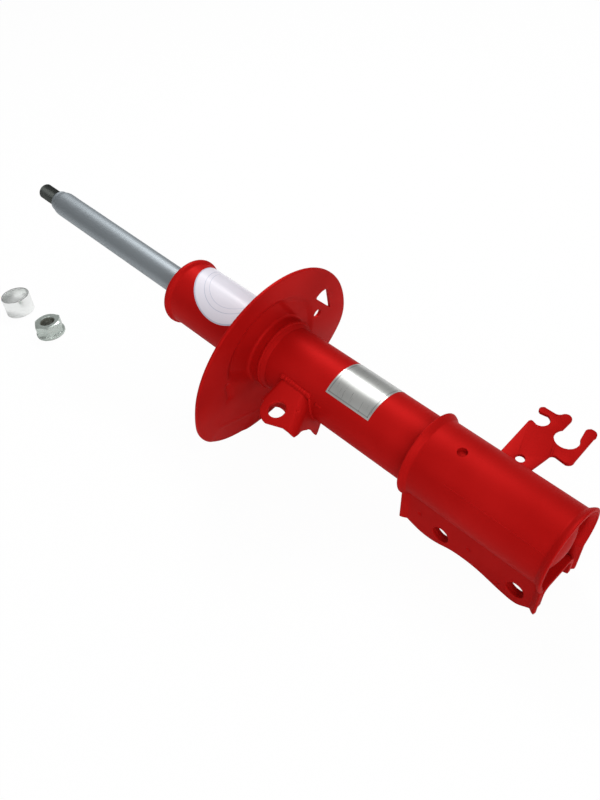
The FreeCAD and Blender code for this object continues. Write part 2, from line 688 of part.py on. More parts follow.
def flange_outline():
    """Side view of the knuckle bracket, with a lobe of extra depth under each bolt hole."""
    top = 40.0
    valley = (FLANGE_DEPTH, FLANGE_LOBE_DEPTH)
    first, second = BOLT_HOLES_X
    half = (second - first) / 2
    lower = [
        (KNUCKLE_START_X, -valley[0] + 1),
        (first - 0.55 * half, -valley[1] + 1.2),
        (first - 0.15 * half, -valley[1] + 1.2),
        (first + 0.4 * half, -valley[0]),
        (first + half, -valley[0]),
        (second - 0.25 * half, -valley[1] + 0.5),
        (second + 0.1 * half, -valley[1]),
        (KNUCKLE_END_X - 5, -valley[0]),
        (KNUCKLE_END_X, -valley[0] + 2),
    ]
    curve = Part.BSplineCurve()
    curve.interpolate([Vector(x, 0, z) for x, z in lower])
    start = Vector(KNUCKLE_START_X, 0, lower[0][1])
    end = Vector(KNUCKLE_END_X, 0, lower[-1][1])
    high_start = Vector(KNUCKLE_START_X, 0, top)
    high_end = Vector(KNUCKLE_END_X, 0, top)
    edges = [curve.toShape(), line(end, high_end), line(high_end, high_start), line(high_start, start)]
    face = Part.Face(Part.Wire(edges))
    depth = 60.0
    face.translate(Vector(0, -depth, 0))
    return face.extrude(Vector(0, 2 * depth, 0))


def bolt_holes():
    """Both knuckle bolt holes, through everything across the bracket."""
    holes = []
    for x in BOLT_HOLES_X:
        holes.append(Part.makeCylinder(BOLT_HOLE_RADIUS, 100, Vector(x, -50, -BOLT_HOLE_DEPTH), SIDE))
    return Part.makeCompound(holes)


def make_knuckle_outer_bracket():
    """Keyhole-shaped pressing round the tube, flared at both ends, with two flanges."""
    flare_steps = [(0.0, 1.0), (0.3, 0.72), (0.6, 0.22), (1.0, 0.0)]
    stations = []
    for share, height in flare_steps:
        stations.append((KNUCKLE_START_X + share * KNUCKLE_FLARE_LENGTH, height * KNUCKLE_FLARE))
    for share, height in reversed(flare_steps):
        stations.append((KNUCKLE_END_X - share * KNUCKLE_FLARE_LENGTH, height * KNUCKLE_FLARE))
    wires = [omega_wire(x, flare) for x, flare in stations]
    shell = Part.makeLoft(wires, True, True)
    hole = Part.makeCylinder(SLEEVE_HOLE_RADIUS, 20, Vector(SLEEVE_HOLE_X, SLEEVE_HOLE_Y, TUBE_RADIUS - 5), UP)
    return shell.common(flange_outline()).cut(bolt_holes()).cut(hole)


def make_knuckle_inner_bracket():
    """Channel nested between the flanges, its web against the tube."""
    outer_y = KNUCKLE_HALF_WIDTH - KNUCKLE_SHEET - WELD_FIT
    inner_y = outer_y - INNER_BRACKET_SHEET
    web_top = -TUBE_RADIUS - WELD_FIT
    web_bottom = web_top - INNER_BRACKET_SHEET
    length = KNUCKLE_END_X - KNUCKLE_START_X - 3
    depth = FLANGE_LOBE_DEPTH + 10 + web_top
    start = Vector(KNUCKLE_START_X + 2, -outer_y, web_top - depth)
    block = Part.makeBox(length, 2 * outer_y, depth, start)
    gap_start = Vector(KNUCKLE_START_X + 1, -inner_y, web_bottom - depth)
    gap = Part.makeBox(length + 2, 2 * inner_y, depth, gap_start)
    outer_edges = edges_at_height(block, web_top)
    inner_edges = edges_at_height(gap, web_bottom)
    block = block.makeFillet(INNER_BRACKET_WEB_RADIUS + INNER_BRACKET_SHEET, outer_edges)
    gap = gap.makeFillet(INNER_BRACKET_WEB_RADIUS, inner_edges)
    trim = 1.0
    outline = flange_outline()
    outline.translate(Vector(0, 0, trim))
    return block.cut(gap).common(outline).cut(bolt_holes())


def edges_at_height(solid, z):
    """Edges of a box that run along the axis at a height."""
    found = []
    for edge in solid.Edges:
        along = abs(edge.tangentAt(edge.FirstParameter).dot(ALONG)) > 0.99
        if along and abs(edge.CenterOfMass.z - z) < 0.01:
            found.append(edge)
    return found


def make_hose_bracket():
    """Flat plate on the sleeve's side with a hose hook, a wide U slot and a screw hole."""
    def at(point):
        """Point of the plate's upper face, from (along the bracket, out from the axis)."""
        return Vector(KNUCKLE_START_X + point[0], point[1], HOSE_SHEET / 2)

    overlap = 1.5
    first = at((HOSE_ROOT[0], SLEEVE_RADIUS - overlap))
    last = at((HOSE_ROOT[1], SLEEVE_RADIUS - overlap))
    edges = []
    here = first
    for step in HOSE_HOOK + HOSE_SLOT:
        there = at(step[-1])
        edges.append(line(here, there) if len(step) == 1 else arc(here, at(step[0]), there))
        here = there
    edges.append(line(here, last))
    edges.append(line(last, first))
    plate = Part.Face(Part.Wire(edges)).extrude(Vector(0, 0, -HOSE_SHEET))
    hole_start = at(HOSE_HOLE_CENTRE) + UP * HOSE_SHEET
    hole = Part.makeCylinder(HOSE_HOLE_RADIUS, 3 * HOSE_SHEET, hole_start, -UP)
    sleeve = cylinder(KNUCKLE_START_X, KNUCKLE_END_X, SLEEVE_RADIUS)
    return plate.cut(hole).cut(sleeve)


def make_top_nut():
    """Hexagon nut with a round collar, standing on its collar."""
    bar = hexagon(NUT_ACROSS_FLATS, NUT_HEIGHT, ORIGIN, UP)
    corner_radius = NUT_ACROSS_FLATS / math.sqrt(3)
    bevel = 1.2
    crown = Part.makeCylinder(corner_radius, NUT_HEIGHT - bevel)
    cone = Part.makeCone(corner_radius, corner_radius - 2 * bevel, bevel, Vector(0, 0, NUT_HEIGHT - bevel))
    bar = bar.common(fused([crown, cone]))
    collar = Part.makeCylinder(NUT_COLLAR_RADIUS, NUT_COLLAR_HEIGHT)
    slope = Part.makeCone(NUT_COLLAR_RADIUS, NUT_ACROSS_FLATS / 2, 1.5, Vector(0, 0, NUT_COLLAR_HEIGHT))
    nut = fused([bar, collar, slope])
    bore = Part.makeCylinder(NUT_THREAD_RADIUS, NUT_HEIGHT + 2, Vector(0, 0, -1))
    mouth = NUT_THREAD_RADIUS + NUT_CHAMFER
    low_mouth = Part.makeCone(mouth, NUT_THREAD_RADIUS, NUT_CHAMFER)
    high_mouth = Part.makeCone(NUT_THREAD_RADIUS, mouth, NUT_CHAMFER, Vector(0, 0, NUT_HEIGHT - NUT_CHAMFER))
    return nut.cut(bore).cut(low_mouth).cut(high_mouth)


def make_spacer_ring():
    """Thin-walled spacer sleeve standing on end."""
    ring = Part.makeCylinder(RING_OUTER_RADIUS, RING_HEIGHT)
    return ring.cut(Part.makeCylinder(RING_BORE_RADIUS, RING_HEIGHT + 2, Vector(0, 0, -1)))


def build_strut():
    """All pieces of the strut, by node name, in the strut's frame."""
    return {
        "strut_tube": make_strut_tube(),
        "base_cap": make_base_cap(),
        "rod_wiper": make_rod_wiper(),
        "oil_seal": make_oil_seal(),
        "rod_guide": make_rod_guide(),
        "guide_o_ring": make_guide_o_ring(),
        "guide_bush": make_guide_bush(),
        "inner_cylinder": make_inner_cylinder(),
        "base_valve_body": make_base_valve_body(),
        "base_valve_plate": make_base_valve_plate(),
        "base_valve_bolt": make_base_valve_bolt(),
        "spring_seat": make_spring_seat(),
        "seat_support_ring": make_seat_support_ring(),
        "link_bracket": make_link_bracket(),
        "knuckle_outer_bracket": make_knuckle_outer_bracket(),
        "knuckle_inner_bracket": make_knuckle_inner_bracket(),
        "hose_bracket": make_hose_bracket(),
        "piston_rod": make_piston_rod(),
        "rebound_bumper": make_rebound_bumper(),
        "rebound_stop_ring": make_rebound_stop_ring(),
        "piston": make_piston(),
        "piston_band": make_piston_band(),
        "compression_shims": make_shims(PISTON_X, -1),
        "rebound_shims": make_shims(PISTON_END_X, 1),
        "piston_nut": make_piston_nut(),
    }


def lowest(shape, tilt):
    """Lowest height of a shape once the strut is tilted nose down."""
    tilted = shape.copy()
    tilted.rotate(ORIGIN, SIDE, tilt)
    return tilted.optimalBoundingBox(False).ZMin


def resting_tilt(seat, bracket):
    """Angle at which the spring seat and the knuckle bracket touch the same floor."""
    low = 0.0
    high = 20.0
    for _ in range(24):
        middle = (low + high) / 2
        if lowest(seat, middle) < lowest(bracket, middle):
            low = middle
        else:
            high = middle
    return (low + high) / 2


def lay_down(strut):
    """Tilt every piece of the strut and set it on the floor at height zero."""
    tilt = resting_tilt(strut["spring_seat"], strut["knuckle_outer_bracket"])
    floor = lowest(strut["spring_seat"], tilt)
    placed = {}
    for node, shape in strut.items():
        copy = shape.copy()
        copy.rotate(ORIGIN, SIDE, tilt)
        copy.translate(Vector(0, 0, -floor))
        placed[node] = copy
    print("tilt", round(tilt, 4), "axis height at the tip", round(-floor, 3))
    return placed


def place_loose_pieces():
    """Nut and ring standing on the floor beside the rod's tip."""
    nut = make_top_nut()
    nut.translate(Vector(NUT_FROM_TIP[0], NUT_FROM_TIP[1], 0))
    ring = make_spacer_ring()
    ring.translate(Vector(RING_FROM_TIP[0], RING_FROM_TIP[1], 0))
    return {"top_nut": nut, "spacer_ring": ring}


def centre_on_floor(pieces):
    """Move everything so that the origin is under the middle of the bounding box."""
    box = FreeCAD.BoundBox()
    for shape in pieces.values():
        box.add(shape.optimalBoundingBox(False))
    shift = Vector(-box.Center.x, -box.Center.y, 0)
    for shape in pieces.values():
        shape.translate(shift)
    print("shift", round(shift.x, 3), round(shift.y, 3))
    print("box", round(box.XLength, 2), round(box.YLength, 2), round(box.ZLength, 2))


def main():
    """Build, place and write every piece."""
    os.makedirs("parts", exist_ok=True)
    pieces = lay_down(build_strut())
    pieces.update(place_loose_pieces())
    centre_on_floor(pieces)
    for node, shape in pieces.items():
        shape.exportStep("parts/" + node + ".step")
        print(node, len(shape.Solids), shape.isValid(), round(shape.Volume, 1))


main()
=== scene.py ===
"""Looks of a front suspension strut that lies on a pale floor with its top nut and spacer ring.

Lengths are millimetres in the strut's own frame: X along the axis from the rod's tip to the
knuckle end, Y towards the hose bracket, Z up. A place along X is called a station. Each finished
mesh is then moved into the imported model's frame, in metres. ACROSS_AXIS stands a flat plate
across the strut: its X, Y and height become Y, Z and the station.
"""
import json
import logging
import math
from dataclasses import dataclass
from enum import Enum
from typing import Callable, Sequence

import bmesh
import bpy
from mathutils import Matrix, Vector


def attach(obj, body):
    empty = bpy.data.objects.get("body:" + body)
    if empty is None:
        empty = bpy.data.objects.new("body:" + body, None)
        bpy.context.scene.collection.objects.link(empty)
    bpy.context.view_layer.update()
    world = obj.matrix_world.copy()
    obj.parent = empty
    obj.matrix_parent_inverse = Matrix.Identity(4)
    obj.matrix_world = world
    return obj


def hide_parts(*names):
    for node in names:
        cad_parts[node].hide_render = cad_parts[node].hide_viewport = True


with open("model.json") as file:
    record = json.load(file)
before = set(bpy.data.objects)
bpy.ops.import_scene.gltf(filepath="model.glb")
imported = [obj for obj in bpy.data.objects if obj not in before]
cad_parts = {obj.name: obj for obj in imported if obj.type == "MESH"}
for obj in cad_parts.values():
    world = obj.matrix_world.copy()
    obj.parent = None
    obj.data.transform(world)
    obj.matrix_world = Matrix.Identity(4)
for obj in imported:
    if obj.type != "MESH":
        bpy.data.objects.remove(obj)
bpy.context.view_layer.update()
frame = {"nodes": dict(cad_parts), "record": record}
LOG = logging.getLogger("strut")

Point = tuple[float, float]
Triple = tuple[float, float, float]
Line = tuple[Point, Point]
Value = "float | tuple | Sock | bpy.types.NodeSocket"

UP = Vector((0, 0, 1))
ACROSS = Vector((0, 1, 0))
ACROSS_AXIS = Matrix(((0, 0, 1, 0), (1, 0, 0, 0), (0, 1, 0, 0), (0, 0, 0, 1)))


class Body(Enum):
    """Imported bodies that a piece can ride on."""

    STRUT = "strut_body"
    ROD = "rod"
    NUT = "nut"
    RING = "ring"


class Slot(Enum):
    """Material slots of the record."""

    PAINT = "red_paint"
    GROUND = "ground_steel"
    STEEL = "plain_steel"
    ZINC = "zinc"
    SINTER = "sintered"
    BRONZE = "bronze"
    RUBBER = "black_rubber"
    BUMPER = "bumper"
    BAND = "band"
    SILVER = "silver_film"
    WHITE = "white_film"


class Place(Enum):
    """Frames that a mesh can be made in."""

    STRUT = "strut"
    NUT = "nut"
    RING = "ring"


def maths(operation: str, swapped: bool = False) -> "Callable[..., Sock]":
    """Operator of a socket that stands for one Math node.

    Args:
        operation: The node's operation.
        swapped: Whether the socket comes second.

    Returns:
        The operator, as a method.
    """

    def operator(self: "Sock", other: Value = 0.0) -> "Sock":
        """Socket of the new Math node."""
        first, second = (other, self) if swapped else (self, other)
        return self.tree.sock("ShaderNodeMath", {0: first, 1: second}, operation=operation)

    return operator


@dataclass(frozen=True)
class Sock:
    """A node's output socket, which takes part in Python expressions."""

    tree: "NodeTree"
    socket: bpy.types.NodeSocket

    __add__ = maths("ADD")
    __radd__ = maths("ADD", swapped=True)
    __sub__ = maths("SUBTRACT")
    __rsub__ = maths("SUBTRACT", swapped=True)
    __mul__ = maths("MULTIPLY")
    __rmul__ = maths("MULTIPLY", swapped=True)
    __truediv__ = maths("DIVIDE")
    __gt__ = maths("GREATER_THAN")
    __lt__ = maths("LESS_THAN")
    __abs__ = maths("ABSOLUTE")

    def within(self, limits: Point) -> "Sock":
        """One between two limits, else zero."""
        return (self > limits[0]) * (self < limits[1])


class NodeTree:
    """A node tree with one way of adding nodes."""

    def __init__(self, tree: bpy.types.NodeTree) -> None:
        """Start from an empty tree.

        Args:
            tree: The tree, whose nodes are removed.
        """
        self.tree = tree
        tree.nodes.clear()

    def add(self, kind: str, inputs: dict | None = None, **settings: object) -> bpy.types.Node:
        """Add a node.

        Args:
            kind: The node's type.
            inputs: Values or links by socket name or number.
            settings: The node's properties, which are set first.

        Returns:
            The new node.
        """
        node = self.tree.nodes.new(kind)
        for name, value in settings.items():
            setattr(node, name, value)
        for key, value in (inputs or {}).items():
            self.feed(node.inputs[key], value)
        return node

    def sock(self, kind: str, inputs: dict | None = None, output: int | str = 0, **settings: object) -> Sock:
        """Add a node as above and wrap one of its outputs."""
        return Sock(self, self.add(kind, inputs, **settings).outputs[output])

    def feed(self, socket: bpy.types.NodeSocket, value: Value) -> None:
        """Give an input its value or link.

        Args:
            socket: The input.
            value: An output to link, or a plain value; a colour comes without its alpha.
        """
        if isinstance(value, Sock):
            value = value.socket
        if isinstance(value, bpy.types.NodeSocket):
            self.tree.links.new(value, socket)
        elif socket.type == "RGBA":
            socket.default_value = (*value, 1.0)
        else:
            socket.default_value = value


class ShaderTree(NodeTree):
    """A material's nodes, with the textures that the finishes share."""

    def __init__(self, material: bpy.types.Material, turn: float = 0.0) -> None:
        """Open a material's nodes.

        Args:
            material: The material to fill.
            turn: Angle about Y that lays texture X along the strut's axis, in radians.
        """
        material.use_nodes = True
        super().__init__(material.node_tree)
        self.coordinates = self.add("ShaderNodeTexCoord")
        self.turn = turn

    def stretched(self, scale: Triple) -> Sock:
        """Object coordinates turned into the strut's frame.

        Args:
            scale: Scale per axis, after the turn.

        Returns:
            The coordinates.
        """
        place = {"Vector": self.coordinates.outputs["Object"], "Rotation": (0.0, self.turn, 0.0)}
        turned = self.sock("ShaderNodeMapping", place)
        return self.sock("ShaderNodeMapping", {"Vector": turned, "Scale": scale})

    def noise(self, scale: float, detail: float = 3.0, stretch: Triple = (1, 1, 1)) -> Sock:
        """Fractal noise between 0 and 1.

        Args:
            scale: Features per metre.
            detail: Octaves.
            stretch: Scale per axis of the strut's frame, before the features' own.

        Returns:
            The noise value.
        """
        inputs = {"Vector": self.stretched(stretch), "Scale": scale, "Detail": detail}
        return self.sock("ShaderNodeTexNoise", inputs)

    def cells(self, scale: float) -> Sock:
        """Random value per Voronoi cell."""
        inputs = {"Vector": self.stretched((1, 1, 1)), "Scale": scale}
        return self.sock("ShaderNodeSeparateColor", {0: self.sock("ShaderNodeTexVoronoi", inputs, "Color")})

    def ramp(self, value: Value, low: float, high: float) -> Sock:
        """Share of the way from low to high, kept between 0 and 1."""
        return self.sock("ShaderNodeMapRange", {0: value, 1: low, 2: high, 3: 0.0, 4: 1.0}, clamp=True)

    def mix(self, share: Value, first: Value, second: Value) -> Sock:
        """Colour between two colours."""
        return self.sock("ShaderNodeMix", {0: share, 6: first, 7: second}, 2, data_type="RGBA")

    def bump(self, height: Value, strength: float, depth: float) -> Sock:
        """Normal from a height of 0 to 1, which is that depth in metres."""
        return self.sock("ShaderNodeBump", {"Strength": strength, "Distance": depth, "Height": height})

    def surface(self, **inputs: Value) -> None:
        """End the tree in a Principled shader with these sockets, spaces as underscores."""
        named = {name.replace("_", " "): value for name, value in inputs.items()}
        self.add("ShaderNodeOutputMaterial", {"Surface": self.sock("ShaderNodeBsdfPrincipled", named)})


def dimmed(colour: Triple, share: float) -> Triple:
    """Colour with that share of its light."""
    return tuple(channel * share for channel in colour)


@dataclass(frozen=True)
class Finish:
    """A surface finish, made into a material once."""

    name: str
    slot: Slot
    turn: float = 0.0

    def material(self) -> bpy.types.Material:
        """Give the finish's material, made on first use.

        Returns:
            The material.
        """
        made = bpy.data.materials.get(self.name)
        if made is None:
            made = bpy.data.materials.new(self.name)
            self.fill(ShaderTree(made, self.turn))
        return made

    def fill(self, tree: ShaderTree) -> None:
        """Build the shader; each finish has its own."""
        raise NotImplementedError


@dataclass(frozen=True)
class PowderCoat(Finish):
    """Satin coloured powder coat with faint orange peel."""

    colour: Triple = (0.47, 0.0085, 0.0078)
    deep: Triple = (0.39, 0.0055, 0.0050)
    edge: Triple = (1.0, 0.50, 0.48)
    metallic: float = 0.18
    sheen: float = 0.03
    roughness: float = 0.46
    unevenness: float = 0.10
    patch_scale: float = 18.0
    gloss_scale: float = 45.0
    peel_scale: float = 520.0
    grain_scale: float = 2400.0
    grain_share: float = 0.2
    peel_strength: float = 0.22
    peel_depth: float = 0.00012

    def fill(self, tree: ShaderTree) -> None:
        """Two reds in wide patches, fine peel and patchy gloss.

        Args:
            tree: The material's nodes.
        """
        patches = tree.ramp(tree.noise(self.patch_scale, 2.0), low=0.35, high=0.7)
        grain = tree.noise(self.grain_scale, 2.0) * self.grain_share
        peel = tree.noise(self.peel_scale, 2.0) * (1.0 - self.grain_share) + grain
        tree.surface(
            Base_Color=tree.mix(patches, self.deep, self.colour),
            Roughness=self.roughness + self.unevenness * (tree.noise(self.gloss_scale) - 0.5),
            Metallic=self.metallic,
            Specular_IOR_Level=self.sheen,
            Specular_Tint=self.edge,
            Normal=tree.bump(peel, self.peel_strength, self.peel_depth),
        )


@dataclass(frozen=True)
class GroundSteel(Finish):
    """Ground and hard-chromed bar, slightly uneven in its shine."""

    colour: Triple = (0.31, 0.345, 0.37)
    shade: float = 0.92
    metallic: float = 0.7
    roughness: float = 0.5
    unevenness: float = 0.05
    scale: float = 12.0
    drawn_out: Triple = (0.5, 1.0, 1.0)

    def fill(self, tree: ShaderTree) -> None:
        """Broad noise drawn out along the bar stands for the uneven grinding.

        Args:
            tree: The material's nodes.
        """
        broad = tree.noise(self.scale, 2.0, self.drawn_out)
        tree.surface(
            Base_Color=tree.mix(broad, dimmed(self.colour, self.shade), self.colour),
            Metallic=self.metallic,
            Roughness=self.roughness + self.unevenness * (broad - 0.5),
        )


@dataclass(frozen=True)
class DarkThread(Finish):
    """Oiled dark steel of the threaded stud."""

    colour: Triple = (0.060, 0.066, 0.062)
    worn: Triple = (0.10, 0.10, 0.09)
    metallic: float = 0.9
    roughness: float = 0.36
    polish: float = 0.06
    wear_scale: float = 700.0

    def fill(self, tree: ShaderTree) -> None:
        """Bright crests where the coating has rubbed.

        Args:
            tree: The material's nodes.
        """
        wear = tree.ramp(tree.noise(self.wear_scale), low=0.52, high=0.80)
        tree.surface(
            Base_Color=tree.mix(wear, self.colour, self.worn),
            Metallic=self.metallic,
            Roughness=self.roughness - self.polish * wear,
        )


@dataclass(frozen=True)
class ZincPlate(Finish):
    """Bright zinc plate with a faint crystal mottle."""

    colour: Triple = (0.94, 0.95, 0.94)
    shade: Triple = (0.86, 0.88, 0.87)
    roughness: float = 0.24
    metallic: float = 0.85
    unevenness: float = 0.08
    cell_scale: float = 700.0
    cell_share: float = 0.35
    mottle_scale: float = 160.0
    mark_scale: float = 90.0
    mark_stretch: Triple = (1.0, 1.0, 8.0)
    mark_strength: float = 0.08
    mark_depth: float = 0.00003

    def fill(self, tree: ShaderTree) -> None:
        """Mottle from small cells, with fine turning marks.

        Args:
            tree: The material's nodes.
        """
        cells = tree.cells(self.cell_scale) * self.cell_share
        mottle = cells + tree.noise(self.mottle_scale) * (1.0 - self.cell_share)
        marks = tree.noise(self.mark_scale, 1.0, self.mark_stretch)
        tree.surface(
            Base_Color=tree.mix(mottle, self.shade, self.colour),
            Metallic=self.metallic,
            Roughness=self.roughness + self.unevenness * (mottle - 0.5),
            Normal=tree.bump(marks, self.mark_strength, self.mark_depth),
        )


@dataclass(frozen=True)
class MachinedSteel(Finish):
    """Turned or rolled steel inside the damper, with an oil film."""

    colour: Triple = (0.44, 0.44, 0.45)
    roughness: float = 0.34
    metallic: float = 1.0
    pores: float = 0.0
    pore_shade: float = 0.45
    pore_scale: float = 1500.0
    unevenness: float = 0.15
    mark_scale: float = 70.0
    mark_stretch: Triple = (40.0, 1.0, 1.0)
    mark_strength: float = 0.25
    mark_depth: float = 0.00006

    def fill(self, tree: ShaderTree) -> None:
        """Turning marks, and pores where the metal is sintered.

        Args:
            tree: The material's nodes.
        """
        marks = tree.noise(self.mark_scale, stretch=self.mark_stretch)
        pores = tree.ramp(tree.noise(self.pore_scale, 2.0), low=0.60, high=0.72) * self.pores
        tree.surface(
            Base_Color=tree.mix(pores, self.colour, dimmed(self.colour, self.pore_shade)),
            Metallic=self.metallic,
            Roughness=self.roughness + self.unevenness * (marks - 0.5),
            Normal=tree.bump(marks - pores, self.mark_strength, self.mark_depth),
        )


@dataclass(frozen=True)
class SoftMoulding(Finish):
    """Moulded rubber or plastic with a matt skin."""

    colour: Triple = (0.022, 0.022, 0.023)
    roughness: float = 0.62
    unevenness: float = 0.15
    dust_scale: float = 140.0
    dust_share: float = 0.5
    dust_light: float = 1.8
    dust_tint: float = 0.01
    grain_scale: float = 2600.0
    grain_strength: float = 0.25
    grain_depth: float = 0.00005

    def fill(self, tree: ShaderTree) -> None:
        """Dusty patches over a fine grain.

        Args:
            tree: The material's nodes.
        """
        dust = tree.ramp(tree.noise(self.dust_scale), low=0.50, high=0.80)
        pale = tuple(min(1.0, channel * self.dust_light + self.dust_tint) for channel in self.colour)
        grain = tree.noise(self.grain_scale, 2.0)
        tree.surface(
            Base_Color=tree.mix(dust * self.dust_share, self.colour, pale),
            Roughness=self.roughness + self.unevenness * dust,
            Normal=tree.bump(grain, self.grain_strength, self.grain_depth),
        )


@dataclass(frozen=True)
class SilverFilm(Finish):
    """Brushed metallised label film with a thin border line."""

    dull: Triple = (0.36, 0.37, 0.36)
    bright: Triple = (0.58, 0.59, 0.57)
    ink: Triple = (0.12, 0.13, 0.13)
    ink_share: float = 0.55
    border: Point = (0.035, 0.055)
    aspect: float = 1.7
    band_scale: float = 26.0
    brush_scale: float = 40.0
    brush_stretch: Triple = (60.0, 2.0, 2.0)
    brush_strength: float = 0.12
    brush_depth: float = 0.00003
    metallic: float = 0.62
    roughness: float = 0.30
    unevenness: float = 0.16

    def fill(self, tree: ShaderTree) -> None:
        """Brushing runs round the tube; the label's own map gives the border.

        Args:
            tree: The material's nodes.
        """
        place = tree.add("ShaderNodeSeparateXYZ", {0: tree.coordinates.outputs["UV"]})
        side, end = (0.5 - abs(Sock(tree, place.outputs[axis]) - 0.5) for axis in (0, 1))
        end = end * self.aspect
        edge = self.border[0]
        border = side.within(self.border) * (end > edge) + end.within(self.border) * (side > edge)
        brushed = tree.noise(self.brush_scale, 4.0, self.brush_stretch)
        bands = tree.ramp(tree.noise(self.band_scale, 1.0), low=0.30, high=0.72)
        metal = tree.mix(bands, self.dull, self.bright)
        tree.surface(
            Base_Color=tree.mix(border * self.ink_share, metal, self.ink),
            Metallic=self.metallic,
            Roughness=self.roughness + self.unevenness * (brushed - 0.5),
            Normal=tree.bump(brushed, self.brush_strength, self.brush_depth),
        )


@dataclass(frozen=True)
class WhiteFilm(Finish):
    """Gloss white label film with thin printed rings."""

    low: Triple = (0.72, 0.70, 0.77)
    high: Triple = (0.77, 0.75, 0.82)
    band_tint: Triple = (0.80, 0.78, 0.86)
    ink: Triple = (0.36, 0.40, 0.52)
    ink_share: float = 0.6
    band_share: float = 0.35
    outer: Point = (0.785, 0.797)
    inner: Point = (0.690, 0.699)
    band: Point = (0.797, 0.95)
    rim: float = 0.972
    tint_scale: float = 60.0
    gloss_scale: float = 300.0
    ripple_scale: float = 500.0
    ripple_strength: float = 0.05
    ripple_depth: float = 0.00005
    sheen: float = 0.25
    roughness: float = 0.26
    unevenness: float = 0.06

    def fill(self, tree: ShaderTree) -> None:
        """Two thin rings, a rim and a paler band from the label's own map.

        Args:
            tree: The material's nodes.
        """
        map_point = {0: tree.coordinates.outputs["UV"]}
        reach = tree.sock("ShaderNodeVectorMath", map_point, "Value", operation="LENGTH")
        lines = reach.within(self.outer) + reach.within(self.inner) + (reach > self.rim)
        tint = tree.mix(tree.noise(self.tint_scale), self.low, self.high)
        ground = tree.mix(reach.within(self.band) * self.band_share, tint, self.band_tint)
        ripple = tree.noise(self.ripple_scale)
        tree.surface(
            Base_Color=tree.mix(lines * self.ink_share, ground, self.ink),
            Roughness=self.roughness + self.unevenness * (tree.noise(self.gloss_scale) - 0.5),
            Specular_IOR_Level=self.sheen,
            Normal=tree.bump(ripple, self.ripple_strength, self.ripple_depth),
        )


class StrutFrame:
    """Where the strut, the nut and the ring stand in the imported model.

    stud_middle is how far the stud's mount lies behind the rod's tip, in metres.
    """

    stud_middle: float = 0.01035
    metres_per_millimetre: float = 0.001

    def __init__(self, record: dict) -> None:
        """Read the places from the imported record's mounts.

        Args:
            record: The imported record.
        """
        mounts = {mount["name"]: mount for mount in record["mounts"]}
        stud = mounts["top_stud"]
        back = Vector(stud["axis"]).normalized()
        along = -back
        side = Vector((0.0, 1.0, 0.0))
        turned = Matrix((along, side, along.cross(side))).transposed().to_4x4()
        scale = Matrix.Scale(self.metres_per_millimetre, 4)
        tip = Vector(stud["pos_m"]) + back * self.stud_middle
        self.tilt = math.atan2(-along.z, along.x)
        self.places = {Place.STRUT: Matrix.Translation(tip) @ turned @ scale}
        for place, mount in ((Place.NUT, "nut_thread"), (Place.RING, "ring_bore")):
            spot = Vector(mounts[mount]["pos_m"])
            spot.z = 0.0
            self.places[place] = Matrix.Translation(spot) @ scale


STRUT_FRAME = StrutFrame(frame["record"])
TILT = STRUT_FRAME.tilt
RED = PowderCoat("red_powder_coat", Slot.PAINT)
ROD_FINISH = GroundSteel("chromed_rod", Slot.GROUND, TILT)
STUD_FINISH = DarkThread("stud_thread", Slot.GROUND)
ZINC = ZincPlate("bright_zinc", Slot.ZINC)
NUT_ZINC = ZincPlate("clear_zinc", Slot.ZINC, 0.0, (0.60, 0.66, 0.62), (0.44, 0.50, 0.46), 0.26, 0.6)
NUT_THREAD = ZincPlate("dull_zinc", Slot.ZINC, 0.0, (0.16, 0.16, 0.13), (0.08, 0.08, 0.06), 0.5, 0.6)
STEEL = MachinedSteel("oiled_steel", Slot.STEEL, TILT)
SINTER = MachinedSteel("sintered_iron", Slot.SINTER, TILT, (0.26, 0.26, 0.27), 0.52, 0.9, 1.0)
BRONZE = MachinedSteel("lined_bronze", Slot.BRONZE, TILT, (0.58, 0.38, 0.17), 0.36, 1.0, 0.5)
RUBBER = SoftMoulding("nitrile_rubber", Slot.RUBBER)
ELASTOMER = SoftMoulding("cast_elastomer", Slot.BUMPER, 0.0, (0.62, 0.54, 0.30), 0.45)
BAND_FINISH = SoftMoulding("filled_fluoropolymer", Slot.BAND, 0.0, (0.07, 0.055, 0.045), 0.5)
SILVER = SilverFilm("silver_label_film", Slot.SILVER, TILT)
WHITE = WhiteFilm("white_label_film", Slot.WHITE)


def placed(name: str, data: bpy.types.ID | None) -> bpy.types.Object:
    """Put a new object into the scene.

    Args:
        name: The object's name.
        data: Its mesh, curve, lamp or camera.

    Returns:
        The object.
    """
    made = bpy.data.objects.new(name, data)
    bpy.context.scene.collection.objects.link(made)
    return made


def evaluated(host: bpy.types.Object) -> bpy.types.Mesh:
    """Plain mesh of an object with its modifiers applied."""
    graph = bpy.context.evaluated_depsgraph_get()
    return bpy.data.meshes.new_from_object(host.evaluated_get(graph))


def shift(x: float = 0.0, y: float = 0.0, z: float = 0.0) -> Matrix:
    """Matrix that moves by these lengths."""
    return Matrix.Translation(Vector((x, y, z)))


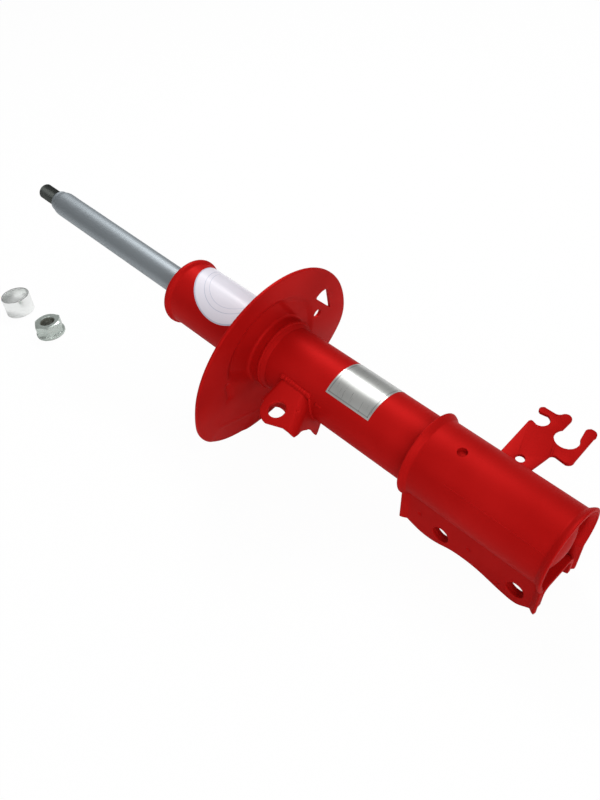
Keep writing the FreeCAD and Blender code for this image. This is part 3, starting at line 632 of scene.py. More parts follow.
class Shape:
    """A mesh under construction, in millimetres."""

    smallest_edge: float = 1e-4

    def __init__(self, vertices: Sequence[Sequence[float]] = (), faces: Sequence[Sequence[int]] = ()) -> None:
        """Make the working object.

        Args:
            vertices: Points.
            faces: Corner numbers of each face.
        """
        mesh = bpy.data.meshes.new("shape")
        mesh.from_pydata([tuple(v) for v in vertices], [], [tuple(f) for f in faces])
        self.object = placed("shape", mesh)

    def closed(self) -> "Shape":
        """Merge doubles, drop loose edges and point every face outwards.

        Returns:
            This shape.
        """
        sheet = bmesh.new()
        sheet.from_mesh(self.object.data)
        bmesh.ops.remove_doubles(sheet, verts=sheet.verts, dist=self.smallest_edge)
        bmesh.ops.delete(sheet, geom=[edge for edge in sheet.edges if edge.is_wire], context="EDGES")
        bmesh.ops.recalc_face_normals(sheet, faces=sheet.faces)
        sheet.to_mesh(self.object.data)
        sheet.free()
        return self

    def modified(self, kind: str, **settings: object) -> "Shape":
        """Apply one modifier.

        Args:
            kind: The modifier's type.
            settings: Its properties.

        Returns:
            This shape, with the result as its mesh.
        """
        modifier = self.object.modifiers.new(kind.lower(), kind)
        for name, value in settings.items():
            setattr(modifier, name, value)
        result = evaluated(self.object)
        self.object.modifiers.clear()
        self.object.data = result
        return self

    def thickened(self, sheet: float) -> "Shape":
        """Give an open surface its sheet thickness, half to each side."""
        return self.modified("SOLIDIFY", thickness=sheet, offset=0.0, use_even_offset=True).closed()

    def eased(self, width: float, above: float = 50.0) -> "Shape":
        """Round the edges that turn by more than an angle in degrees."""
        limit = {"limit_method": "ANGLE", "angle_limit": math.radians(above)}
        return self.modified("BEVEL", width=width, segments=3, use_clamp_overlap=False, **limit)

    def cut(self, *tools: "Shape") -> "Shape":
        """Take other shapes out of this one."""
        return self._combine("DIFFERENCE", tools)

    def kept(self, *tools: "Shape") -> "Shape":
        """Keep only what lies inside every other shape."""
        return self._combine("INTERSECT", tools)

    def _combine(self, operation: str, others: Sequence["Shape"]) -> "Shape":
        """Boolean with each of the others, which are used up.

        Args:
            operation: What the Boolean does.
            others: The other shapes.

        Returns:
            This shape.
        """
        for other in others:
            self.modified("BOOLEAN", operation=operation, object=other.object, solver="EXACT")
            bpy.data.objects.remove(other.object)
        return self

    def moved(self, matrix: Matrix) -> "Shape":
        """Move the mesh."""
        self.object.data.transform(matrix)
        return self

    def piece(
        self,
        name: str,
        finish: Finish,
        stands_for: Sequence[str] = (),
        body: Body = Body.STRUT,
        place: Place = Place.STRUT,
        sharp: float = 32.0,
    ) -> None:
        """Turn the shape into a finished piece.

        Args:
            name: The piece's name.
            finish: Its finish.
            stands_for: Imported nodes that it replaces.
            body: The body that it rides on.
            place: The frame that its millimetres are in.
            sharp: Angle in degrees above which an edge stays sharp.
        """
        mesh = self.object.data
        mesh.transform(STRUT_FRAME.places[place])
        mesh.materials.clear()
        mesh.materials.append(finish.material())
        mesh.shade_smooth()
        mesh.set_sharp_from_angle(angle=math.radians(sharp))
        mesh.name = self.object.name = name
        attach(self.object, body.value)
        if stands_for:
            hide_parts(*stands_for)
        LOG.info("%s rides on %s, %d faces", name, body.value, len(mesh.polygons))


def between(start: float, end: float, steps: int) -> list[float]:
    """Even steps from a start to an end, both included."""
    return [start + (end - start) * step / steps for step in range(steps + 1)]


def full_turn(steps: int) -> list[float]:
    """Angles of even steps round a full turn."""
    return [2 * math.pi * step / steps for step in range(steps)]


def softened(corners: Sequence[Point], radius: float, steps: int = 3, loop: bool = True) -> list[Point]:
    """Round the corners of an outline.

    Args:
        corners: The outline's corners.
        radius: Distance from a corner at which its rounding starts, kept under half its sides.
        steps: Parts of each rounding.
        loop: Whether the last corner joins the first.

    Returns:
        The rounded outline.
    """
    rounded: list[Point] = []
    count, reach = len(corners), 0.45
    for index, (x, y) in enumerate(corners):
        if not loop and index in (0, count - 1):
            rounded.append((x, y))
            continue
        here = Vector((x, y))
        back = Vector(corners[index - 1]) - here
        ahead = Vector(corners[(index + 1) % count]) - here
        start = here + back.normalized() * min(radius, back.length * reach)
        end = here + ahead.normalized() * min(radius, ahead.length * reach)
        for share in between(0, 1, steps):
            point = start * (1 - share) ** 2 + here * (2 * share * (1 - share)) + end * share ** 2
            rounded.append((point.x, point.y))
    return rounded


def grid(rows: Sequence[Sequence[Sequence[float]]], wrap: bool = False, loop: bool = False) -> Shape:
    """Surface through rows of points.

    Args:
        rows: Rows of equal length.
        wrap: Whether each row closes on itself.
        loop: Whether the last row joins the first.

    Returns:
        The surface.
    """
    count, width = len(rows), len(rows[0])
    faces = []
    for row in range(count if loop else count - 1):
        here, there = row * width, (row + 1) % count * width
        for column in range(width if wrap else width - 1):
            ahead = (column + 1) % width
            faces.append((here + column, here + ahead, there + ahead, there + column))
    return Shape([point for row in rows for point in row], faces)


def turned(profile: Sequence[Point], segments: int = 144, upright: bool = False) -> Shape:
    """Closed profile of (axial, radial) points turned about its axis.

    Args:
        profile: The section, all round.
        segments: Parts of the full turn.
        upright: Turn about Z instead of X.

    Returns:
        The solid.
    """
    rows = []
    for angle in full_turn(segments):
        row = [(axial, radial * math.cos(angle), radial * math.sin(angle)) for axial, radial in profile]
        rows.append([(y, z, axial) for axial, y, z in row] if upright else row)
    return grid(rows, wrap=True, loop=True).closed()


def plate(outline: Sequence[Point], holes: Sequence[Sequence[Point]], bottom: float, top: float) -> Shape:
    """Flat plate with holes in it.

    Args:
        outline: The plate's corners.
        holes: The corners of each hole.
        bottom: Height of its lower face.
        top: Height of its upper face.

    Returns:
        The plate.
    """
    sheet = bmesh.new()
    for loop in (outline, *holes):
        corners = [sheet.verts.new((x, y, bottom)) for x, y in loop]
        for index, corner in enumerate(corners):
            sheet.edges.new((corner, corners[(index + 1) % len(corners)]))
    bmesh.ops.triangle_fill(sheet, use_beauty=True, edges=sheet.edges[:], normal=(0, 0, 1))
    raised = bmesh.ops.extrude_face_region(sheet, geom=sheet.faces[:])
    lifted = [item for item in raised["geom"] if isinstance(item, bmesh.types.BMVert)]
    bmesh.ops.translate(sheet, verts=lifted, vec=(0, 0, top - bottom))
    bmesh.ops.recalc_face_normals(sheet, faces=sheet.faces)
    shape = Shape()
    sheet.to_mesh(shape.object.data)
    sheet.free()
    return shape


def ring_of(centre: Point, radius: float, steps: int = 48) -> list[Point]:
    """Corners of a circle."""
    x, y = centre
    return [(x + radius * math.cos(turn), y + radius * math.sin(turn)) for turn in full_turn(steps)]


def arc_through(start: Point, middle: Point, end: Point, steps: int = 14) -> list[Point]:
    """Follow the circle through three points.

    Args:
        start: Where the arc starts, which is left out.
        middle: A point on the arc.
        end: Where it ends.
        steps: Parts of the arc.

    Returns:
        The points after the start.
    """
    (ax, ay), (bx, by), (cx, cy) = start, middle, end
    area = 2 * (ax * (by - cy) + bx * (cy - ay) + cx * (ay - by))
    squares = (ax * ax + ay * ay, bx * bx + by * by, cx * cx + cy * cy)
    ox = (squares[0] * (by - cy) + squares[1] * (cy - ay) + squares[2] * (ay - by)) / area
    oy = (squares[0] * (cx - bx) + squares[1] * (ax - cx) + squares[2] * (bx - ax)) / area
    radius = math.hypot(ax - ox, ay - oy)
    first, second, third = (math.atan2(y - oy, x - ox) for x, y in (start, middle, end))
    turn = 2 * math.pi
    sweep = (third - first) % turn
    if (second - first) % turn >= sweep:
        sweep -= turn
    angles = between(first, first + sweep, steps)[1:]
    return [(ox + radius * math.cos(angle), oy + radius * math.sin(angle)) for angle in angles]


def soft_step(distance: float, width: float) -> float:
    """Smooth rise from 0 to 1 as a distance goes from minus to plus a width."""
    share = min(1.0, max(0.0, (distance / width + 1) / 2))
    return share * share * (3 - 2 * share)


def beside(line: Line, at: Point) -> Point:
    """Place a point by a line.

    Args:
        line: The line's two ends.
        at: The point.

    Returns:
        How far along the line the point lies, and how far to its left.
    """
    (x0, y0), (x1, y1) = line
    length = math.dist(*line)
    ahead = ((x1 - x0) / length, (y1 - y0) / length)
    dx, dy = at[0] - x0, at[1] - y0
    return dx * ahead[0] + dy * ahead[1], dy * ahead[0] - dx * ahead[1]


@dataclass
class Drill:
    """Round cutter that is wider past both ends of its length, to chamfer the hole's edges."""

    radius: float
    length: float
    chamfer: float = 0.0
    turn: float = 0.0
    run_out: float = 20.0

    def at(self, centre: Sequence[float], axis: Vector) -> Shape:
        """Place the cutter.

        Args:
            centre: Middle of the hole.
            axis: The hole's direction.

        Returns:
            The cutter, turned about its axis by its own angle.
        """
        half, edge = self.length / 2, self.chamfer
        ends = (
            (half + self.run_out, 0.0),
            (half + self.run_out, self.radius + edge * 4),
            (half + edge, self.radius + edge * 2),
            (half - edge, self.radius),
        )
        profile = [(-x, radius) for x, radius in ends] + list(reversed(ends))
        spin = Matrix.Rotation(self.turn, 4, "Z")
        pose = shift(*centre) @ axis.to_track_quat("Z", "Y").to_matrix().to_4x4() @ spin
        return turned(profile, segments=48, upright=True).moved(pose)


class GeometryTree(NodeTree):
    """A Geometry Nodes tree with named inputs, used once and turned into a plain mesh."""

    def __init__(self, name: str, **inputs: float) -> None:
        """Open the tree.

        Args:
            name: The tree's name.
            inputs: Its named number inputs with their values.
        """
        super().__init__(bpy.data.node_groups.new(name, "GeometryNodeTree"))
        for way in ("INPUT", "OUTPUT"):
            self.tree.interface.new_socket("Geometry", in_out=way, socket_type="NodeSocketGeometry")
        self.values = {}
        for title, value in inputs.items():
            socket = self.tree.interface.new_socket(title, in_out="INPUT", socket_type="NodeSocketFloat")
            self.values[socket.identifier] = value
        self.entry = self.add("NodeGroupInput")

    def given(self, title: str) -> Sock:
        """The tree's input of that name."""
        return Sock(self, self.entry.outputs[title])

    def grown_on(self, host: bpy.types.Object, geometry: Sock, finish: Finish) -> Shape:
        """End the tree in Realize Instances and Set Material, and run it.

        Args:
            host: The object that the tree runs on, which is used up.
            geometry: What the tree makes.
            finish: The finish that it gets.

        Returns:
            The result as a plain mesh.
        """
        real = self.sock("GeometryNodeRealizeInstances", {0: geometry})
        dress = {"Geometry": real, "Material": finish.material()}
        self.add("NodeGroupOutput", {0: self.sock("GeometryNodeSetMaterial", dress)})
        modifier = host.modifiers.new("grow", "NODES")
        modifier.node_group = self.tree
        for identifier, value in self.values.items():
            modifier[identifier] = value
        shape = Shape()
        shape.object.data = evaluated(host)
        bpy.data.objects.remove(host)
        return shape


@dataclass
class Thread:
    """Helical thread ridge, outside a stud or inside a nut, about Z from height zero."""

    core: float
    crest: float
    pitch: float
    length: float
    steps_per_turn: int = 40

    def shape(self, finish: Finish) -> Shape:
        """Sweep a square ridge along a helix with Geometry Nodes.

        Args:
            finish: The ridge's finish.

        Returns:
            The ridge.
        """
        depth = abs(self.crest - self.core)
        tree = GeometryTree("thread", Core=self.core, Depth=depth, Pitch=self.pitch, Length=self.length)
        core, length = tree.given("Core"), tree.given("Length")
        path = {
            "Resolution": self.steps_per_turn,
            "Rotations": length / tree.given("Pitch"),
            "Start Radius": core,
            "End Radius": core,
            "Height": length,
        }
        helix = tree.sock("GeometryNodeCurveSpiral", path)
        upright = tree.sock("GeometryNodeSetCurveNormal", {0: helix}, mode="Z_UP")
        square = {"Resolution": 4, "Radius": tree.given("Depth")}
        section = tree.sock("GeometryNodeCurvePrimitiveCircle", square)
        sweep = {"Curve": upright, "Profile Curve": section, "Fill Caps": True}
        return tree.grown_on(Shape().object, tree.sock("GeometryNodeCurveToMesh", sweep), finish)


@dataclass
class WeldBead:
    """Row of overlapping drops along a path, whose sizes wobble between two shares of the radius."""

    path: Sequence[Vector]
    radius: float
    pitch: float
    closed: bool = False
    wobble: Point = (0.86, 1.08)
    seed: int = 7

    def shape(self) -> Shape:
        """Set the drops with Geometry Nodes.

        Returns:
            The bead.
        """
        curve = bpy.data.curves.new("path", "CURVE")
        curve.dimensions = "3D"
        spline = curve.splines.new("POLY")
        spline.points.add(len(self.path) - 1)
        for point, at in zip(spline.points, self.path):
            point.co = (*at, 1.0)
        spline.use_cyclic_u = self.closed
        tree = GeometryTree("weld_bead", Radius=self.radius, Pitch=self.pitch)
        spacing = {"Curve": tree.given("Geometry"), "Length": tree.given("Pitch")}
        ball = {"Segments": 12, "Rings": 8, "Radius": tree.given("Radius")}
        sizes = {2: self.wobble[0], 3: self.wobble[1], "Seed": self.seed}
        spread = {
            "Points": tree.sock("GeometryNodeResampleCurve", spacing, mode="LENGTH"),
            "Instance": tree.sock("GeometryNodeMeshUVSphere", ball),
            "Scale": tree.sock("FunctionNodeRandomValue", sizes, 1, data_type="FLOAT"),
        }
        drops = tree.sock("GeometryNodeInstanceOnPoints", spread)
        return tree.grown_on(placed("path", curve), drops, RED)

    def weld(self, name: str, sharp: float = 60.0) -> None:
        """Make the bead a red piece of the strut."""
        self.shape().piece(name, RED, sharp=sharp)


@dataclass
class DamperTube:
    """Painted tube with its rolled mouth, wiper, domed end and labels.

    The mouth and the wiper are given by stations from the tube's top and by radii.
    """

    radius: float = 25.5
    wall: float = 2.5
    top_x: float = 208.0
    end_x: float = 553.0
    end_chamfer: float = 0.1
    lip: float = 3.0
    mouth: tuple[Point, ...] = (
        (0.9, 15.0), (0.0, 16.6), (0.0, 24.6), (0.7, 27.0), (2.6, 27.8), (4.4, 27.6), (6.6, 25.5)
    )
    mouth_rounding: float = 1.4
    wiper_lip: tuple[Point, ...] = (
        (0.5, 11.04), (0.0, 11.84), (0.6, 13.24), (0.2, 14.97), (3.0, 14.97), (3.0, 11.04)
    )
    wiper_rounding: float = 0.4
    dome_height: float = 9.0
    dome_sheet: float = 3.0
    dome_steps: int = 14
    film: float = 0.12
    film_gap: float = 0.03
    silver_size: Point = (38.8, 66.0)
    silver_edge: Point = (376.7, -45.0)
    silver_steps: tuple[int, int] = (24, 60)
    round_size: Point = (39.6, 45.0)
    round_middle: Point = (259.6, -132.6)
    round_steps: int = 72

    def build(self) -> None:
        """Make the tube and what is on it."""
        self.tube().piece("damper_tube", RED, ["strut_tube"])
        self.dome().piece("end_dome", RED, ["base_cap"])
        wiper = softened(self.from_top(self.wiper_lip), self.wiper_rounding)
        turned(wiper, segments=96).piece("rod_wiper_lip", RUBBER, ["rod_wiper"])
        self.silver_label().piece("silver_label", SILVER)
        self.round_label().piece("round_label", WHITE)

    def from_top(self, section: Sequence[Point]) -> list[Point]:
        """Section with its stations counted from the strut's tip."""
        return [(self.top_x + x, radius) for x, radius in section]

    def tube(self) -> Shape:
        """Turn the tube with the rolled bead at its mouth.

        Returns:
            The tube.
        """
        bore = self.radius - self.wall
        profile = self.from_top(self.mouth)
        profile += [(self.end_x - self.end_chamfer, self.radius), (self.end_x, bore)]
        profile += self.from_top([(self.lip, bore), (self.lip, self.mouth[0][1])])
        return turned(softened(profile, self.mouth_rounding, steps=4), segments=192)

    def dome(self) -> Shape:
        """Turn the pressed end of the tube.

        Returns:
            The dome.
        """
        sphere = (self.radius ** 2 + self.dome_height ** 2) / (2 * self.dome_height)
        centre = self.end_x + self.dome_height - sphere
        angles = between(0.0, math.asin(self.radius / sphere), self.dome_steps)
        outside = [(sphere, angle) for angle in reversed(angles)]
        inside = [(sphere - self.dome_sheet, angle) for angle in angles[:-2]]
        profile = [(centre + reach * math.cos(a), reach * math.sin(a)) for reach, a in outside + inside]
        return turned([*profile, (self.end_x, self.radius - self.wall)], segments=128)

    def wrapped(self, inside: Sequence[Sequence[Point]], size: Point, origin: Point) -> Shape:
        """Lay a thin film on the tube.

        Args:
            inside: Rows of map points that cover the film.
            size: Length of the map's unit along the axis and round the tube.
            origin: Station of the map's origin and its angle from the camera's side, in degrees.

        Returns:
            The film with its own map.
        """
        skin = self.radius + self.film_gap
        rows = []
        for row in inside:
            line = []
            for u, v in row:
                angle = math.radians(origin[1]) + v * size[1] / self.radius
                line.append((origin[0] + u * size[0], -skin * math.cos(angle), -skin * math.sin(angle)))
            rows.append(line)
        film = grid(rows)
        mesh = film.object.data
        flat = [place for row in inside for place in row]
        layer = mesh.uv_layers.new(name="film")
        for loop in mesh.loops:
            layer.data[loop.index].uv = flat[loop.vertex_index]
        return film.modified("SOLIDIFY", thickness=self.film, offset=1.0)

    def silver_label(self) -> Shape:
        """Metallised label, bare but for its border.

        Returns:
            The film, whose map runs from 0 to 1 both ways and ends at the label's given edge.
        """
        along, around = (between(0, 1, steps) for steps in self.silver_steps)
        rows = [[(u, v) for v in around] for u in along]
        station, angle = self.silver_edge
        start = angle - math.degrees(self.silver_size[1] / self.radius)
        return self.wrapped(rows, self.silver_size, (station, start))

    def round_label(self) -> Shape:
        """Round label round the tube's upper end.

        Returns:
            The film, a square grid drawn into a circle.
        """
        places = between(-1, 1, self.round_steps)
        rows = []
        for x in places:
            rows.append([(x * math.sqrt(1 - y * y / 2), y * math.sqrt(1 - x * x / 2)) for y in places])
        return self.wrapped(rows, self.round_size, self.round_middle)


@dataclass
class SpringSeat:
    """Bent round seat with the spring's pressed pocket, its fold and its neck.

    Points on the seat are (y, z); a wall is half the width over which a pressing sinks.
    """

    radius: float = 79.2
    sheet: float = 2.5
    axis_x: float = 308.0
    centre: Point = (-3.3, -10.2)
    bend_z: float = -13.4
    upper_lean: float = 4.2
    lower_lean: float = 14.3
    side_lean: float = 1.5
    bend_radius: float = 140.0
    rounding: float = 0.7
    around: int = 240
    outward: int = 36
    bend_steps: int = 8
    neck: float = 9.0
    neck_bend: float = 3.4
    tube_radius: float = 25.55
    depth: float = 3.0
    pocket: Triple = (-7.0, 6.0, 43.4)
    pocket_wall: float = 3.0
    pocket_end: Line = ((-48.5, 7.7), (-27.7, -8.5))
    end_wall: float = 5.5
    shallow_from: Line = ((4.8, 45.3), (19.5, 22.5))
    shallow_wall: float = 1.8
    shallow: float = 0.55
    fold: Line = ((-54.0, -47.8), (-17.1, -64.4))
    fold_slope: float = 0.045
    fold_height: float = 0.55
    fold_width: float = 1.3
    fold_run_out: Point = (3.0, 4.0)
    dent: Line = ((-52.1, 1.0), (-50.1, -13.0))
    dent_depth: float = 1.6
    dent_width: float = 2.6
    window: tuple[Point, ...] = ((40.4, 26.1), (46.7, 29.2), (53.4, 28.6), (58.5, 4.6))
    window_rounding: float = 2.4
    drain: Point = (43.2, 8.6)
    drain_radius: float = 3.8
    cutter_reach: float = 30.0
    weld_steps: int = 120
    bead_place: Point = (0.7, 1.4)
    bead_size: Point = (1.7, 1.6)
    fill: tuple[Point, ...] = ((0.8, 0.02), (0.8, 2.12), (2.4, 1.72), (5.8, 0.32), (5.8, 0.02))
    fill_rounding: float = 0.8

    def station(self, z: float) -> float:
        """Find the bent sheet's middle.

        Args:
            z: Height on the seat.

        Returns:
            The station there.
        """
        upper = math.tan(math.radians(self.upper_lean))
        lower = math.tan(math.radians(self.lower_lean))
        half = self.bend_radius * math.tan(math.radians(self.lower_lean - self.upper_lean) / 2)
        rise = z - self.bend_z
        if rise < -half:
            return self.axis_x + rise * lower
        slope = (upper - lower) / (4 * half)
        return self.axis_x + rise * upper + slope * min(0.0, rise - half) ** 2

    def rim(self, y: float, z: float) -> float:
        """Distance from the axis to the rim in a direction."""
        along = y * self.centre[0] + z * self.centre[1]
        return along + math.sqrt(along ** 2 - math.hypot(*self.centre) ** 2 + self.radius ** 2)

    def relief(self, y: float, z: float) -> float:
        """Push of the pressed sheet along the axis, less than zero towards the spring.

        Args:
            y: Place across the seat.
            z: Height on the seat.

        Returns:
            The push in millimetres.
        """
        pocket_y, pocket_z, radius = self.pocket
        inside = soft_step(radius - math.hypot(y - pocket_y, z - pocket_z), self.pocket_wall)
        _, past_end = beside(self.pocket_end, (y, z))
        _, past_step = beside(self.shallow_from, (y, z))
        depth = self.depth * (1.0 - (1.0 - self.shallow) * soft_step(past_step, self.shallow_wall))
        push = -depth * inside * soft_step(past_end, self.end_wall)
        along, off = beside(self.fold, (y, z))
        margin, wall = self.fold_run_out
        left = math.dist(*self.fold) - along
        weight = soft_step(along + margin, wall) * soft_step(left + margin, wall)
        ridge = self.fold_height * math.exp(-((off / self.fold_width) ** 2))
        push += weight * (ridge + self.fold_slope * min(0.0, off))
        along, off = beside(self.dent, (y, z))
        beyond = max(0.0, -along, along - math.dist(*self.dent))
        return push - self.dent_depth * math.exp(-(off ** 2 + beyond ** 2) / self.dent_width ** 2)

    def column(self, angle: float) -> list[Vector]:
        """Section of the sheet's middle in one direction.

        Args:
            angle: The direction, from Y.

        Returns:
            Its points from the neck's mouth to the rim.
        """
        y, z = math.cos(angle), math.sin(angle)
        radius = self.tube_radius + self.sheet / 2
        bend = self.neck_bend
        start = radius + bend
        base = self.station(start * z) + self.relief(start * y, start * z)
        spots = [(radius, x) for x in between(self.axis_x + self.neck, base + bend, 3)[:-1]]
        for turn in between(0.0, math.pi / 2, self.bend_steps):
            spots.append((start - bend * math.cos(turn), base + bend * (1 - math.sin(turn))))
        for reach in between(start, self.rim(y, z), self.outward)[1:]:
            spots.append((reach, self.station(reach * z) + self.relief(reach * y, reach * z)))
        return [Vector((x, reach * y, reach * z)) for reach, x in spots]

    def build(self) -> None:
        """Press the seat, cut its window and its drain hole, and weld it."""
        rows = list(zip(*(self.column(angle) for angle in full_turn(self.around))))
        seat = grid(rows, wrap=True).closed().thickened(self.sheet).eased(self.rounding)
        lean = Matrix.Rotation(math.radians(self.side_lean), 4, "Z")
        seat.moved(shift(self.axis_x) @ lean @ shift(-self.axis_x))
        window = softened(self.window, self.window_rounding, steps=5)
        start, end = self.axis_x - self.cutter_reach, self.axis_x + self.cutter_reach
        for outline in (window, ring_of(self.drain, self.drain_radius)):
            seat.cut(plate(outline, [], start, end).moved(ACROSS_AXIS))
        seat.piece("spring_plate", RED, ["spring_seat"])
        self.weld()

    def weld(self) -> None:
        """Weld round the neck's mouth and the filled ring behind it."""
        mouth = self.axis_x + self.neck
        offset, lift = self.bead_place
        reach = self.tube_radius + lift
        turns = full_turn(self.weld_steps)
        path = [Vector((mouth + offset, reach * math.cos(a), reach * math.sin(a))) for a in turns]
        WeldBead(path, *self.bead_size, closed=True).weld("seat_weld")
        fill = [(mouth + x, self.tube_radius + rise) for x, rise in self.fill]
        turned(softened(fill, self.fill_rounding)).piece("neck_fill", RED, ["seat_support_ring"])


@dataclass
class LinkLug:
    """Bent bracket for the stabiliser link: an eye face between two walls that reach to the tube.

    Its own axes are the station, the reach above the tube's axis and the depth behind the face.
    """

    sheet: float = 2.8
    lean: float = 15.0
    offset: float = 16.6
    start_x: float = 339.0
    hole: Point = (355.4, 42.0)
    hole_radius: float = 6.5
    eye_radius: float = 12.5
    eye_steps: int = 14
    margin: float = 9.0
    side_margin: float = 7.0
    block_depths: Point = (-5.0, 60.0)
    edge: float = 50.0
    fold: Point = (366.0, 20.2)
    corner_x: float = 380.0
    root: float = 8.0
    near_bend: float = 4.0
    far_bend: float = 7.0
    bend_steps: int = 8
    wall_steps: int = 12
    face_steps: int = 10
    rows: int = 30
    wall_edge: tuple[Point, ...] = ((50.0, 3.3), (41.0, 11.0), (33.0, 24.0), (30.5, 32.0), (28.5, 43.0))
    edge_rounding: float = 2.5
    dimple: Point = (368.2, 33.4)
    dimple_size: Point = (1.5, 1.2)
    tack: Point = (375.1, 16.4)
    tube_radius: float = 25.5
    saddle_gap: float = 0.4
    saddle_x: Point = (300.0, 420.0)
    face_angle: float = 25.0
    face_drop: float = 3.0
    face_lift: float = 0.3
    wall_lifts: Point = (0.3, 0.4)
    tack_sink: float = 0.4
    tack_reach: float = 1.6
    weld_depths: Point = (3.0, 41.0)
    weld_radii: tuple[float, ...] = (2.1, 1.4, 1.3, 1.3)
    weld_pitch: float = 0.9
    weld_steps: int = 24
    grain: float = 0.42

    def axes(self) -> Matrix:
        """Lead from the bracket's own axes to the strut's frame.

        Returns:
            The matrix.
        """
        lean = math.radians(self.lean)
        cosine, sine = math.cos(lean), math.sin(lean)
        columns = Matrix(((1, 0, 0), (0, -cosine, -sine), (0, sine, -cosine))).transposed().to_4x4()
        return columns @ shift(z=-self.offset)

    def far_wall(self, reach: float) -> float:
        """Station of the far wall's outside, which leans away from the near wall."""
        slope = (self.corner_x - self.fold[0]) / (self.edge - self.fold[1])
        return self.fold[0] + slope * (reach - self.fold[1])

    def section(self, reach: float) -> list[Vector]:
        """Middle of the bent sheet at a reach.

        Args:
            reach: Height above the tube's axis.

        Returns:
            Points from the near wall's edge over the face to the far wall's.
        """
        half = self.sheet / 2
        near, far = self.start_x + half, self.far_wall(reach) - half
        deep = self.wall_edge[-1][1] + 2
        turns = between(0.0, math.pi / 2, self.bend_steps)
        line = [(near, depth) for depth in between(deep, self.near_bend, self.wall_steps)[:-1]]
        bend = self.near_bend - half
        line += [(near + bend * (1 - math.cos(a)), self.near_bend - bend * math.sin(a)) for a in turns]
        bend = self.far_bend - half
        line += [(x, half) for x in between(line[-1][0], far - bend, self.face_steps)[1:-1]]
        line += [(far - bend * (1 - math.cos(a)), self.far_bend - bend * math.sin(a)) for a in turns[::-1]]
        line += [(far, depth) for depth in between(self.far_bend, deep, self.wall_steps)[1:]]
        return [Vector((x, reach, depth)) for x, depth in line]

    def front(self) -> Shape:
        """Make what lies inside the front outline, rounded about the eye.

        Returns:
            The block to keep.
        """
        (x, reach), eye = self.hole, self.eye_radius
        near, far, low = self.start_x - self.margin, self.corner_x + self.margin, self.root - 2
        quarter = between(math.pi, math.pi / 2, self.eye_steps)
        outline = [(near, low), (near, reach)]
        outline += [(x + eye * math.cos(a), reach + eye * math.sin(a)) for a in quarter]
        outline += [(x + eye, self.edge), (far, self.edge), (far, low)]
        return plate(outline, [ring_of(self.hole, self.hole_radius)], *self.block_depths)

    def side(self) -> Shape:
        """Make what lies inside the walls' wavy outline, across the bracket.

        Returns:
            The block to keep.
        """
        tip = self.hole[1] + self.eye_radius + 3
        low, front = self.root - 2, -3.0
        line = [(tip, self.wall_edge[0][1]), *self.wall_edge, (low, self.wall_edge[-1][1])]
        outline = [(low, front), (tip, front), *softened(line, self.edge_rounding, 4, loop=False)]
        near, far = self.start_x - self.side_margin, self.corner_x + self.side_margin
        return plate(outline, [], near, far).moved(ACROSS_AXIS)

    def build(self) -> None:
        """Bend the sheet, trim it, fit it to the tube and weld it."""
        tip = self.hole[1] + self.eye_radius + 1
        lug = grid([self.section(reach) for reach in between(self.root, tip, self.rows)])
        lug.closed().thickened(self.sheet).kept(self.side(), self.front())
        radius, depth = self.dimple_size
        corners = [(-depth, 0.0), (-depth, radius), (depth, radius), (depth, 0.0)]
        pit = turned(corners, segments=20, upright=True)
        lug.cut(pit.moved(shift(*self.dimple))).moved(self.axes())
        reach = self.tube_radius - self.saddle_gap
        start, end = self.saddle_x
        lug.cut(turned([(start, 0.0), (start, reach), (end, reach), (end, 0.0)], segments=96))
        lug.modified("REMESH", mode="VOXEL", voxel_size=self.grain)
        lug.modified("SMOOTH", iterations=4, factor=0.5)
        lug.piece("link_lug", RED, ["link_bracket"], sharp=80)
        self.weld()

    def on_tube(self, x: float, angle: float, lift: float) -> Vector:
        """Point near the tube's skin at an angle in degrees above the camera's side."""
        turn, reach = math.radians(angle), self.tube_radius + lift
        return Vector((x, -reach * math.cos(turn), reach * math.sin(turn)))

    def weld(self) -> None:
        """Beads where the face and both walls meet the tube, and one tack."""
        axes = self.axes()
        start, span = self.start_x + 1, self.fold[0] - self.start_x - 1
        face, far, near = [], [], []
        for share in between(0, 1, self.weld_steps):
            angle = self.face_angle - self.face_drop * math.sin(share)
            face.append(self.on_tube(start + span * share, angle, self.face_lift))
        near_lift, far_lift = self.wall_lifts
        for depth in between(*self.weld_depths, self.weld_steps - 1):
            reach = math.sqrt(max(0.0, self.tube_radius ** 2 - (depth - self.offset) ** 2))
            far.append(axes @ Vector((self.far_wall(reach) + far_lift, reach, depth)))
            near.append(axes @ Vector((self.start_x - near_lift, reach, depth)))
        x, angle = self.tack
        spots = between(x - self.tack_reach, x + self.tack_reach, 4)
        tack = [self.on_tube(spot, angle, -self.tack_sink) for spot in spots]
        names = ("lug_face_weld", "lug_far_weld", "lug_near_weld", "lug_tack")
        for name, path, radius in zip(names, (face, far, near, tack), self.weld_radii):
            WeldBead(path, radius, self.weld_pitch).weld(name)


